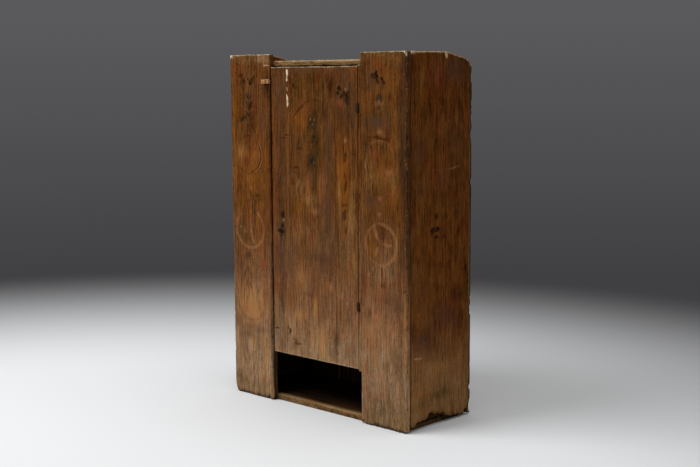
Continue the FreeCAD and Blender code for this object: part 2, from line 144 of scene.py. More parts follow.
def mesh_piece(name, points, quads, triangles, values, material):
    """A mesh object from whole arrays of points in millimetres, with one attribute for each named value."""
    mesh = bpy.data.meshes.new(name)
    loops = np.concatenate([quads.ravel(), triangles.ravel()]).astype(np.int32)
    starts = np.concatenate([np.arange(len(quads)) * 4, len(quads) * 4 + np.arange(len(triangles)) * 3])
    mesh.vertices.add(len(points))
    mesh.vertices.foreach_set("co", (points / METRE).astype(np.float32).ravel())
    mesh.loops.add(len(loops))
    mesh.loops.foreach_set("vertex_index", loops)
    mesh.polygons.add(len(starts))
    mesh.polygons.foreach_set("loop_start", starts.astype(np.int32))
    mesh.update(calc_edges=True)
    mesh.validate()
    mesh.polygons.foreach_set("use_smooth", np.ones(len(starts), bool))
    mesh.set_sharp_from_angle(angle=SHARP_ANGLE)
    for key, value in values.items():
        kind, field = ("FLOAT_VECTOR", "vector") if value.ndim == 2 else ("FLOAT", "value")
        mesh.attributes.new(key, kind, "POINT").data.foreach_set(field, value.astype(np.float32).ravel())
    mesh.materials.append(material)
    piece = bpy.data.objects.new(name, mesh)
    bpy.context.scene.collection.objects.link(piece)
    return piece


def grid_lines(start, end, step, arris, cracks=()):
    """Grid lines from start to end: close together on both arrises, about a step apart between them.
    Three lines are moved to each crack, its two lips and its bed."""
    edge = arris * ARRIS_LINES
    gaps = max(1, round((end - start - 2 * edge[-1]) / step))
    gaps += -(gaps + 2 * (len(edge) - 1)) % BACK_SHARE
    middle = np.linspace(start + edge[-1], end - edge[-1], gaps + 1)
    lines = np.concatenate([start + edge[:-1], middle, end - edge[-2::-1]])
    for place, width in cracks:
        k = int(np.abs(lines - place).argmin())
        lines[k - 1:k + 2] = place - width / 2, place, place + width / 2
    return lines


def rim_path(rows, columns):
    """Indices round the border of a grid, anticlockwise seen from its front."""
    i, j = np.arange(rows), np.arange(columns)
    index = np.arange(rows * columns).reshape(rows, columns)
    return np.concatenate([index[i[:-1], 0], index[-1, j[:-1]], index[i[:0:-1], -1], index[0, j[:0:-1]]])


def sheet_faces(rows, columns, first):
    """Quads of a grid whose points start at first, facing the side where the border runs anticlockwise."""
    index = first + np.arange(rows * columns).reshape(rows, columns)
    return np.stack([index[:-1, :-1], index[1:, :-1], index[1:, 1:], index[:-1, 1:]], -1).reshape(-1, 4)


def shell_faces(rows, columns, border):
    """Quads and triangles of a board whose points are its show sheet, its rim rows and its coarse back.
    A fan of triangles joins the fine rim to the back."""
    fine, turn = len(border), BACK_SHARE - 1
    first_rim = rows * columns
    first_back = first_rim + fine * len(RIM_ROWS)
    back_rows, back_columns = -(-rows // BACK_SHARE), -(-columns // BACK_SHARE)
    quads = [sheet_faces(rows, columns, 0), sheet_faces(back_rows, back_columns, first_back)[:, ::-1]]
    ring = border
    for k in range(len(RIM_ROWS)):
        under = first_rim + k * fine + np.arange(fine)
        quads.append(np.stack([ring, under, np.roll(under, -1), np.roll(ring, -1)], 1))
        ring = under
    hem = first_back + rim_path(back_rows, back_columns)
    next_hem = np.roll(hem, -1)
    fan, after = ring.reshape(-1, BACK_SHARE), np.roll(ring, -1).reshape(-1, BACK_SHARE)
    near = np.stack([hem] * turn + [next_hem], 1)
    triangles = [np.stack([fan, near, after], -1).reshape(-1, 3), np.stack([fan[:, turn], hem, next_hem], 1)]
    return np.concatenate(quads), np.concatenate(triangles)


def board(node, across, along, out, material, slot, seed, steps, arris=2.0, warp=0.4, pith=None, look=None,
          left=None, right=None, low=None, high=None, side_wear=None, end_wear=None, cracks=(), dents=()):
    """A worn board in the place of a CAD node, one closed surface: fine show sheet, rim and coarse back.
    A point has a place across (a), a place along the grain (g) and a depth under the show face (d).
    The outline is left(g) to right(g) and low(a) to high(a), moved inwards by the wear of sides and ends.
    Near an edge the sheet drops by r - sqrt(r^2 - (r - distance)^2), an arris whose radius r is noisy.
    A crack is a V groove between three grid lines: its place, width, start, end and depth.
    A dent is a soft spot pressed in: its centre, size and depth.
    The rings are distances from a pith line: its place across, depth under the face, sway and dive."""
    lo, hi = box_mm(node)
    ai, gi, oi = AXES.index(across), AXES.index(along), AXES.index(out[1])
    a_lo, a_hi, g_lo, g_hi = lo[ai], hi[ai], lo[gi], hi[gi]
    sign = 1 if out[0] == "+" else -1
    thickness = hi[oi] - lo[oi]
    face = hi[oi] if sign > 0 else lo[oi]
    arrises = np.broadcast_to(arris, 4)
    a_lines = grid_lines(a_lo, a_hi, steps[0], arrises[:2].max(), [crack[:2] for crack in cracks])
    g_lines = grid_lines(g_lo, g_hi, steps[1], arrises[2:].max())
    rows, columns = len(a_lines), len(g_lines)
    a, g = (grid.ravel() for grid in np.meshgrid(a_lines, g_lines, indexing="ij"))

    # Show sheet: arrises, a slight warp, cracks and dents, all as depth under the face
    d = np.zeros_like(a)
    for k, (distance, place) in enumerate(((a - a_lo, g), (a_hi - a, g), (g - g_lo, a), (g_hi - g, a))):
        r = arrises[k] * (0.75 + 0.35 * noise(seed + k, place, 90) + 0.3 * noise(seed + 20 + k, place, 17))
        d = np.maximum(d, r - np.sqrt(np.maximum(r ** 2 - np.maximum(r - distance, 0) ** 2, 0)))
    hollow = warp * (0.5 + 0.5 * noise(seed + 5, a, 70, g, 260))
    d = d + hollow * ramp(np.minimum(a - a_lo, a_hi - a), 0, 20)
    crack_mark = np.zeros_like(a)
    for place, width, start, end, deep in cracks:
        groove = (np.abs(a - place) < 1e-6) * ramp(g, start, start + 60) * fall(g, end - 60, end)
        groove = groove * (0.6 + 0.4 * noise(seed + 7, g, 35))
        d = d + deep * groove
        crack_mark = np.maximum(crack_mark, groove)
    for centre, size, deep in dents:
        d = d + deep * blot(a, g, centre, size)

    # Rim rows run from the show sheet's border down to the back arris, and the back is a coarser grid
    border = rim_path(rows, columns)
    rim_d = d[border] + (thickness - BACK_ARRIS - d[border]) * RIM_ROWS[:, None]
    rim_a, rim_g = np.tile(a[border], len(RIM_ROWS)), np.tile(g[border], len(RIM_ROWS))
    back_a, back_g = (grid.ravel() for grid in np.meshgrid(
        np.clip(a_lines[::BACK_SHARE], a_lo + BACK_ARRIS, a_hi - BACK_ARRIS),
        np.clip(g_lines[::BACK_SHARE], g_lo + BACK_ARRIS, g_hi - BACK_ARRIS), indexing="ij"))
    a, g = np.concatenate([a, rim_a, back_a]), np.concatenate([g, rim_g, back_g])
    d = np.concatenate([d, rim_d.ravel(), np.full(len(back_a), thickness)])
    crack_mark = np.concatenate([crack_mark, np.zeros(len(rim_a) + len(back_a))])

    # Outline: straight or shaped limits first, then wear that fades away from its edge
    share_a, share_g = (a - a_lo) / (a_hi - a_lo), (g - g_lo) / (g_hi - g_lo)
    left_a = left(g) if left else a_lo
    right_a = right(g) if right else a_hi
    a = left_a + share_a * (right_a - left_a)
    low_g = low(a) if low else g_lo
    high_g = high(a) if high else g_hi
    g = low_g + share_g * (high_g - low_g)
    inner = np.minimum(a - left_a, right_a - a)
    a = a + 1.6 * noise(seed + 9, g, 240) * ramp(inner, 0, 40)
    grain_a = a
    for k, (distance, push) in enumerate(((a - left_a, 1), (right_a - a, -1))):
        wear = 0.3 * (1 + noise(seed + 30 + k, g, 60)) * fall(d, 3, 8)
        if side_wear:
            wear = wear + side_wear(k, g, d)
        a = a + push * wear * fall(distance, 0, 14 + 2 * wear)
    plain_g = g
    for k, (distance, push) in enumerate(((g - low_g, 1), (high_g - g, -1))):
        wear = 0.5 * (1 + noise(seed + 40 + k, a, 22))
        if end_wear:
            wear = wear + end_wear(k, a, d)
        g = g + push * wear * fall(distance, 0, 24 + 2.5 * wear)

    # Grain: distance from the pith line, place across (through the thickness too) and place along the board
    pith_a, pith_d, pith_sway, pith_dive = pith or (a_lo + PLAIN_PITH[0] * (a_hi - a_lo), *PLAIN_PITH[1:])
    off_a = grain_a - pith_a - pith_sway * noise(seed + 11, g, 420)
    off_d = d - pith_d - pith_dive * noise(seed + 12, g, 520) - 0.02 * (g - g_lo)
    rings = np.hypot(off_a, off_d) + 0.9 * noise(seed + 13, grain_a, 30, g, 160)
    across_grain = off_a + 0.7 * d + 1.5 * noise(seed + 14, g, 60)
    values = {"grain": np.stack([rings, across_grain + seed * 53.0, g + seed * 37.0], 1), "crack": crack_mark}
    if look:
        edges = {"left": grain_a - left_a, "right": right_a - grain_a,
                 "low": plain_g - low_g, "high": high_g - plain_g}
        for key, value in look(grain_a, g, d, edges).items():
            values[key] = np.clip(value, 0, 1)

    # Faces, turned round where across, along and out are left-handed
    quads, triangles = shell_faces(rows, columns, border)
    if np.linalg.det(np.eye(3)[[ai, gi, oi]]) * sign < 0:
        quads, triangles = quads[:, ::-1], triangles[:, ::-1]
    points = np.empty((len(a), 3))
    points[:, ai], points[:, gi], points[:, oi] = a, g, face - sign * d
    piece = mesh_piece("aged_" + node, points, quads, triangles, values, material)
    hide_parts(node)
    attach(piece, BODY_OF[node])
    return piece


def put(tree, kind, inputs=None, give=0, stops=None, **settings):
    """Adds one shader node with its settings, colour stops and inputs, and gives one of its outputs.
    An input is a value or the output of another node."""
    added = tree.nodes.new("ShaderNode" + kind)
    for key, value in settings.items():
        setattr(added, key, value)
    if stops:
        for _ in stops[2:]:
            added.color_ramp.elements.new(0.5)
        for element, (place, grey) in zip(added.color_ramp.elements, stops):
            element.position, element.color = place, (grey, grey, grey, 1)
    for key, value in (inputs or {}).items():
        if isinstance(value, bpy.types.NodeSocket):
            tree.links.new(value, added.inputs[key])
        else:
            added.inputs[key].default_value = value
    return added.outputs[give]


def new_material(name):
    """An empty material, its node tree and its Principled shader."""
    material = bpy.data.materials.new(name)
    material.use_nodes = True
    return material, material.node_tree, material.node_tree.nodes["Principled BSDF"]


# The pine's figure: sizes in millimetres from the pith, across and along, and the noise levels that become
# 0 and 1. Real fibres are under a millimetre and rings 1 to 3 mm wide; both are drawn coarser, to show.
FIGURE = (
    ("fibre", (12.0, 2.6, 45.0), 0.38, 0.62),
    ("grit", (9.0, 5.0, 9.0), 0.38, 0.62),
    ("streak", (30.0, 5.0, 190.0), 0.37, 0.63),
    ("band", (60.0, 24.0, 300.0), 0.32, 0.68),
    ("cloud", (120.0, 36.0, 70.0), 0.32, 0.68),
    ("moss", (150.0, 55.0, 120.0), 0.42, 0.64),
    ("blush", (150.0, 45.0, 150.0), 0.42, 0.64),
    ("speck", (8.0, 2.6, 20.0), 0.60, 0.70),
)
RING_STOPS = ((0.0, 0.0), (0.4, 0.1), (0.84, 1.0), (1.0, 0.0))      # slow rise to late wood, then a sharp end
TONE_SHARES = (("streak", 0.30), ("band", 0.08), ("fibre", 0.26), ("cloud", 0.16), ("grit", 0.18))
RING_SHARE = 0.22
TINTS = (("moss", "d8dab0"), ("blush", "ffd2b8"))
CRACK_DARK = "120a05"
WAX_SHEEN, WAX_TINT = 0.05, "c08a50"
SATIN, KNIFE_CUT, MATT = (0.52, 0.74), (0.75, 0.8), (0.8, 0.85)     # roughness where fresh and where worn


def pine_figure(tree, ring_width):
    """Pine's figure on the board's own grain: the noises of FIGURE, each from 0 to 1, and the year rings."""
    grain = put(tree, "Attribute", give="Vector", attribute_name="grain")
    figure = {}
    for name, size, low, high in FIGURE:
        place = put(tree, "VectorMath", {0: grain, 1: tuple(1 / s for s in size)}, operation="MULTIPLY")
        texture = put(tree, "TexNoise", {"Vector": place, "Scale": 1.0, "Detail": 4.0, "Roughness": 0.6})
        figure[name] = put(tree, "MapRange", {0: texture, 1: low, 2: high})
    turns = put(tree, "Math", {0: put(tree, "SeparateXYZ", {0: grain}), 1: ring_width}, operation="DIVIDE")
    turns = put(tree, "Math", {0: figure["band"], 1: 0.5, 2: turns}, operation="MULTIPLY_ADD")
    ring = put(tree, "ValToRGB", {0: put(tree, "Math", {0: turns}, operation="FRACT")}, stops=RING_STOPS)
    strength = put(tree, "MapRange", {0: figure["cloud"], 3: 0.4, 4: 1.0})
    figure["ring"] = put(tree, "Math", {0: ring, 1: strength}, operation="MULTIPLY")
    return figure


def aged_pine(tree, figure, waxed, worn, dirt):
    """Old pine from waxed to worn. Ring, streak, band, fibre, cloud and grit choose between a light and a
    dark colour of each, and the fade mark between the two. Patches are tinted olive or red, and specks
    and the grime mark, which is dirt and painted shade, darken it."""
    tone = put(tree, "Math", {0: figure["ring"], 1: RING_SHARE}, operation="MULTIPLY")
    for name, share in TONE_SHARES:
        tone = put(tree, "Math", {0: figure[name], 1: share, 2: tone}, operation="MULTIPLY_ADD")
    tone = put(tree, "MapRange", {0: tone, 1: 0.34, 2: 0.8})
    rich = put(tree, "Mix", {0: tone, 6: linear(waxed[0]), 7: linear(waxed[1])}, 2, data_type="RGBA")
    pale = put(tree, "Mix", {0: tone, 6: linear(worn[0]), 7: linear(worn[1])}, 2, data_type="RGBA")
    fade = put(tree, "Attribute", give="Fac", attribute_name="fade")
    patchy = put(tree, "MapRange", {0: figure["cloud"], 3: 0.6, 4: 1.4})
    fade = put(tree, "Math", {0: fade, 1: patchy}, operation="MULTIPLY", use_clamp=True)
    colour = put(tree, "Mix", {0: fade, 6: rich, 7: pale}, 2, data_type="RGBA")
    fresh = put(tree, "MapRange", {0: fade, 3: 1.0, 4: 0.35})
    for name, tint in TINTS:
        cover = put(tree, "Attribute", give="Fac", attribute_name=name)
        cover = put(tree, "Math", {0: figure[name], 1: 0.7, 2: cover}, operation="MULTIPLY_ADD")
        cover = put(tree, "Math", {0: cover, 1: fresh}, operation="MULTIPLY", use_clamp=True)
        layers = {0: cover, 6: colour, 7: linear(tint)}
        colour = put(tree, "Mix", layers, 2, data_type="RGBA", blend_type="MULTIPLY")
    # The grime mark is real dirt, and painted shade in gaps, the niche, the inside and under the feet; the
    # dirt colour is also the colour of that painted shade
    grime = put(tree, "Attribute", give="Fac", attribute_name="grime")
    soil_and_shade = put(tree, "MapRange", {0: figure["streak"], 3: 0.7, 4: 1.1})
    soil_and_shade = put(tree, "Math", {0: soil_and_shade, 1: grime}, operation="MULTIPLY")
    soil_and_shade = put(tree, "Math", {0: figure["speck"], 1: 0.4, 2: soil_and_shade}, operation="MULTIPLY_ADD", use_clamp=True)
    colour = put(tree, "Mix", {0: soil_and_shade, 6: colour, 7: linear(dirt)}, 2, data_type="RGBA")
    crack = put(tree, "Attribute", give="Fac", attribute_name="crack")
    return put(tree, "Mix", {0: crack, 6: colour, 7: linear(CRACK_DARK)}, 2, data_type="RGBA"), fade


def finish_pine(tree, shader, figure, colour, fade, coats, rough):
    """Lays coats of paint over the wood, each eaten by streaks and fibres, then joins colour, roughness and
    relief. A coat is a mark, a colour and the noise levels at which it starts to go and is gone.
    Relief is raised late wood and torn fibres, half a millimetre deep at most."""
    eaten = put(tree, "Math", {0: figure["fibre"], 1: figure["streak"]}, operation="ADD")
    for mark, code, low, high in coats:
        left = put(tree, "MapRange", {0: eaten, 1: low, 2: high, 3: 1.0, 4: 0.0})
        cover = put(tree, "Attribute", give="Fac", attribute_name=mark)
        cover = put(tree, "Math", {0: cover, 1: left}, operation="MULTIPLY", use_clamp=True)
        colour = put(tree, "Mix", {0: cover, 6: colour, 7: linear(code)}, 2, data_type="RGBA")
    tree.links.new(colour, shader.inputs["Base Color"])
    tree.links.new(put(tree, "MapRange", {0: fade, 3: rough[0], 4: rough[1]}), shader.inputs["Roughness"])
    shader.inputs["Specular IOR Level"].default_value = WAX_SHEEN
    shader.inputs["Specular Tint"].default_value = linear(WAX_TINT)
    height = put(tree, "Math", {0: figure["ring"], 1: 0.6, 2: figure["fibre"]}, operation="MULTIPLY_ADD")
    height = put(tree, "Math", {0: figure["speck"], 1: -0.8, 2: height}, operation="MULTIPLY_ADD")
    bump = put(tree, "Bump", {"Height": height, "Strength": 0.45, "Distance": 0.0007})
    tree.links.new(bump, shader.inputs["Normal"])


def old_pine(name, waxed, worn, coats, dirt, ring_width, rough):
    """Pine in one of its finishes: the figure of its grain, the wood's colours, coats of paint and relief."""
    material, tree, shader = new_material(name)
    figure = pine_figure(tree, ring_width)
    colour, fade = aged_pine(tree, figure, waxed, worn, dirt)
    finish_pine(tree, shader, figure, colour, fade, coats, rough)
    return material


def painted_pine():
    """Waxed old pine, hand painted, most of the paint rubbed away: satin orange brown above, dry and pale
    below, with scraps of black, rose, chalk, rust and slate paint that lie in the grain's hollows."""
    coats = (("ochre", "7f4814", 0.5, 2.4), ("dusk", "553b29", 0.6, 2.4), ("straw", "a67a46", 0.8, 2.2),
             ("slate", "2e2a1b", 0.9, 2.3), ("rose", "7d3f27", 0.8, 2.4), ("chalk", "9a6843", 0.8, 2.6),
             ("rust", "321307", 1.1, 2.4), ("ink", "110b07", 0.9, 2.1), ("bare", "e2cfae", 0.9, 2.1))
    waxed, worn = ("72451a", "291504"), ("b2906e", "6a503c")
    return old_pine("painted_old_pine", waxed, worn, coats, dirt="160d06", ring_width=5.5, rough=SATIN)


def side_pine():
    """Old pine of the sides, under a dark, red brown wax that never wore through except at the foot."""
    coats = (("dusk", "4a3229", 0.6, 2.4), ("straw", "8a5a2a", 0.8, 2.2), ("slate", "3a3018", 0.6, 2.4),
             ("rose", "74402a", 0.5, 2.0), ("chalk", "8a6844", 0.4, 2.2), ("ink", "140a0c", 0.9, 2.1),
             ("bare", "d6bd94", 0.9, 2.1))
    waxed, worn = ("78471a", "301906"), ("a07a52", "644629")
    return old_pine("dark_waxed_old_pine", waxed, worn, coats, dirt="140b05", ring_width=5.5, rough=SATIN)


def inner_pine():
    """Pine that was never finished: dry, matt and dark with age, darker still as painted shade for the niche
    and the inside, paler where it is rubbed.
    """
    coats = (("bare", "d0b58c", 0.8, 2.0),)
    aged_and_shaded, rubbed = ("654a2e", "38261a"), ("a5855a", "6b5135")
    return old_pine("dry_unfinished_pine", aged_and_shaded, rubbed, coats, dirt="100a06", ring_width=6.0, rough=MATT)


def raw_pine():
    """A scrap of pine cut with a knife and left raw: pale straw, matt, with clear fibres."""
    cut, rubbed = ("d4b494", "8c6c52"), ("d8ba98", "947454")
    return old_pine("whittled_raw_pine", cut, rubbed, (), dirt="3a281a", ring_width=4.0, rough=KNIFE_CUT)


def iron(name, dark, brown, metal, rough):
    """Iron worked hot and left to brown: near black scale, rust in the hollows, dull hammered highlights.
    Hammer marks are 6 mm wide and the scale's flakes 1.5 mm."""
    material, tree, shader = new_material(name)
    place = put(tree, "TexCoord", give="Object")
    hammer = put(tree, "TexNoise", {"Vector": place, "Scale": METRE / 6.0, "Detail": 2.0})
    scale = put(tree, "TexNoise", {"Vector": place, "Scale": METRE / 1.5, "Detail": 4.0})
    hollow = put(tree, "Math", {0: hammer, 1: scale}, operation="MULTIPLY")
    rust = put(tree, "MapRange", {0: hollow, 1: 0.2, 2: 0.36})
    colour = put(tree, "Mix", {0: rust, 6: linear(dark), 7: linear(brown)}, 2, data_type="RGBA")
    tree.links.new(colour, shader.inputs["Base Color"])
    tree.links.new(put(tree, "MapRange", {0: rust, 3: rough, 4: 0.85}), shader.inputs["Roughness"])
    tree.links.new(put(tree, "MapRange", {0: rust, 3: metal, 4: 0.1 * metal}), shader.inputs["Metallic"])
    height = put(tree, "Math", {0: hammer, 1: scale}, operation="ADD")
    bump = put(tree, "Bump", {"Height": height, "Strength": 0.6, "Distance": 0.0005})
    tree.links.new(bump, shader.inputs["Normal"])
    return material


def forged_iron():
    """Hinges and nails: forged, black with brown rust, dull with wax and dirt."""
    material = iron("forged_iron", dark="2a2119", brown="3f2a1a", metal=0.2, rough=0.75)
    material.node_tree.nodes["Principled BSDF"].inputs["Specular IOR Level"].default_value = 0.2
    return material


def waxed_iron():
    """Nail heads of the front, browned over by the same wax as the boards and paler where these are worn,
    so that they hardly show."""
    material = iron("waxed_over_iron", dark="573413", brown="653f17", metal=0.0, rough=0.8)
    tree, shader = material.node_tree, material.node_tree.nodes["Principled BSDF"]
    height = put(tree, "SeparateXYZ", {0: put(tree, "TexCoord", give="Object")}, "Z")
    worn = put(tree, "MapRange", {0: height, 1: 0.8, 2: 0.3})
    colour = shader.inputs["Base Color"].links[0].from_socket
    colour = put(tree, "Mix", {0: worn, 6: colour, 7: linear("7c5c40")}, 2, data_type="RGBA")
    tree.links.new(colour, shader.inputs["Base Color"])
    shader.inputs["Specular IOR Level"].default_value = 0.1
    return material


def sheet_iron():
    """The lock: hammered sheet, greyer, brighter and smoother than the forged iron."""
    return iron("lock_sheet_iron", dark="3b3631", brown="4a3322", metal=0.8, rough=0.42)


PAINTED, SIDE, INNER, RAW = painted_pine(), side_pine(), inner_pine(), raw_pine()
FORGED, WAXED_IRON, SHEET = forged_iron(), waxed_iron(), sheet_iron()

# Marks of the boards: two states of the wood (worn, partly a painted reflection of the floor; dirty, partly
# painted shade), two tints, seven paints, ink and bare wood
COATS = ("fade", "grime", "moss", "blush", "ochre", "dusk", "straw", "slate", "rose", "chalk", "rust", "ink",
         "bare")
CRISP_COATS, CRISP_EDGE, SOFT_EDGE = ("ink", "bare"), 2.0, 4.0

# Places that the marks and the outlines share
DOOR_LOW, DOOR_HIGH = (corner[2] for corner in box_mm("door_lock_board"))
SEAM_FOOT, SEAM_LEAN = -195.0, 27.0         # place of the lock board's seam at the foot, lean to the head
TOP_LOW = box_mm("top_front_board")[0][2]
BOTTOM_END = box_mm("bottom_front_board")[1][0]
STILE_BACK = box_mm("right_stile")[1][1]
NICHE_SHADE = (240, 300)                    # heights between which the painted shade of the niche ends
LEFT_WHEELS = ((-447, 1211), (-448, 844), (-446, 487))
RIGHT_WHEELS = ((417, 1218), (424, 843), (423, 484))
OVAL = {"centre": (8, 936), "radius": 548, "squash": 0.484}


def no_marks(a):
    """Every coat at zero."""
    return {coat: np.zeros_like(a) for coat in COATS}


def dab(look, a, g, d, spots, strokes):
    """Adds soft spots and brush strokes on the show face alone, down to just under the arris.
    Spots stand under their coat, or under two that are parted by a plus. Each is a place across and along,
    a reach across and along, and an amount, and its edge is ragged.
    A stroke is a coat, points, a width, whether it has a belly, and an amount."""
    face = fall(d, 6, 10)
    rag = 0.24 * (noise(62, a, 5, g, 15) + noise(63, a, 14, g, 40))
    for coats, places in spots.items():
        for across, along, reach_across, reach_along, amount in places:
            spot = amount * blot(a, g, (across, along), (reach_across, reach_along))
            for coat in coats.split("+"):
                look[coat] += np.maximum(spot + rag * np.sqrt(spot), 0) * face
    for coat, points, width, belly, amount in strokes:
        soft = CRISP_EDGE if coat in CRISP_COATS else SOFT_EDGE
        look[coat] = np.maximum(look[coat], amount * brush(a, g, points, width, belly, soft) * face)
    return look


def stripes(coat, *dabs):
    """Brush strokes of even width, each given by its width, its amount and its points."""
    return [(coat, points, width, False, amount) for width, amount, points in dabs]


def tapers(coat, *dabs):
    """Brush strokes that taper to both ends, each given by its width, its amount and its points."""
    return [(coat, points, width, True, amount) for width, amount, points in dabs]


def leaves(coat, amount, *dabs):
    """Brush leaves, a little bent, each given by its middle, length, direction in degrees and width."""
    strokes = []
    for across, along, length, direction, width in dabs:
        t = math.radians(direction)
        half = length / 2 * np.array((math.cos(t), math.sin(t)))
        bend = length * 0.2 * np.array((-math.sin(t), math.cos(t)))
        middle = np.array((across, along))
        strokes.append((width, amount, bow(middle - half, middle + bend, middle + half)))
    return tapers(coat, *strokes)


def chevrons(coat, foot, head, pairs, reach, rise, width, amount):
    """Strokes of a plant: a stem, and pairs of straight leaves that rise from it."""
    strokes = stripes(coat, (width * 0.6, amount, (foot, head)))
    for z in np.linspace(foot[1], head[1] - rise * 0.4, pairs):
        for hand in (-1, 1):
            strokes += tapers(coat, (width, amount, ((foot[0], z), (foot[0] + hand * reach, z + rise))))
    return strokes


def front_look(a, g, d, edges):
    """Marks that all front boards share: paler to the foot (wear, partly a painted reflection of the pale
    floor), dark rims in the joints (dirt, partly painted shade of the gaps), bare wood at the head.
    """
    look = no_marks(a)
    # Paler and greyer towards the foot: wear, and partly a painted reflection of the pale floor
    look["fade"] = np.interp(g, (0, 150, 320, 500, 700, 1000), (0.9, 0.9, 0.76, 0.48, 0.24, 0.05))
    look["blush"] = 0.3 * ramp(g, 330, 450) * fall(g, 560, 820)
    end = fall(edges["high"], 0.5, 5)
    # Rims in the joints are darkened: dirt, and partly painted shade in the gaps between the boards
    joint = 0.85 * ramp(d, 4, 9) * (1 - 0.75 * ramp(g, TOP_LOW - 9, TOP_LOW + 5))
    look["grime"] = joint * (1 - 0.6 * end) * (1 - 0.55 * ramp(d, 23.9, 24.9))
    look["fade"] += 0.5 * end * ramp(d, 2, 7)
    torn = ramp(noise(77, a, 14) + 0.6 * noise(79, a, 5), -0.5, 0.9)
    look["bare"] = end * (0.2 + 0.4 * fall(d, 2, 7) * torn)
    return look


def stile_look(a, g, d, edges):
    """Marks of both stiles: a head that is dry, greyed and speckled, and a ragged dark foot whose lowest edge
    is a painted contact shadow.
    """
    look = front_look(a, g, d, edges)
    head = fall(edges["high"] + 14 * noise(64, a, 30), 8, 58)
    look["moss"] += 0.8 * head
    look["fade"] += 0.3 * head * (0.7 + 0.5 * noise(65, a, 9, g, 12))
    # A ragged painted contact shadow along the lowest edge, as if the foot stood a little above the floor
    look["grime"] += 0.85 * fall(edges["low"] + 9 * noise(76, a, 9), 1, 22)
    foot = fall(g + 16 * noise(83, a, 6), 20, 90)
    look["moss"] += 0.5 * fall(g, 30, 140)
    look["ink"] += 0.7 * foot * ramp(noise(84, a, 4), 0.25, 0.8)
    return look


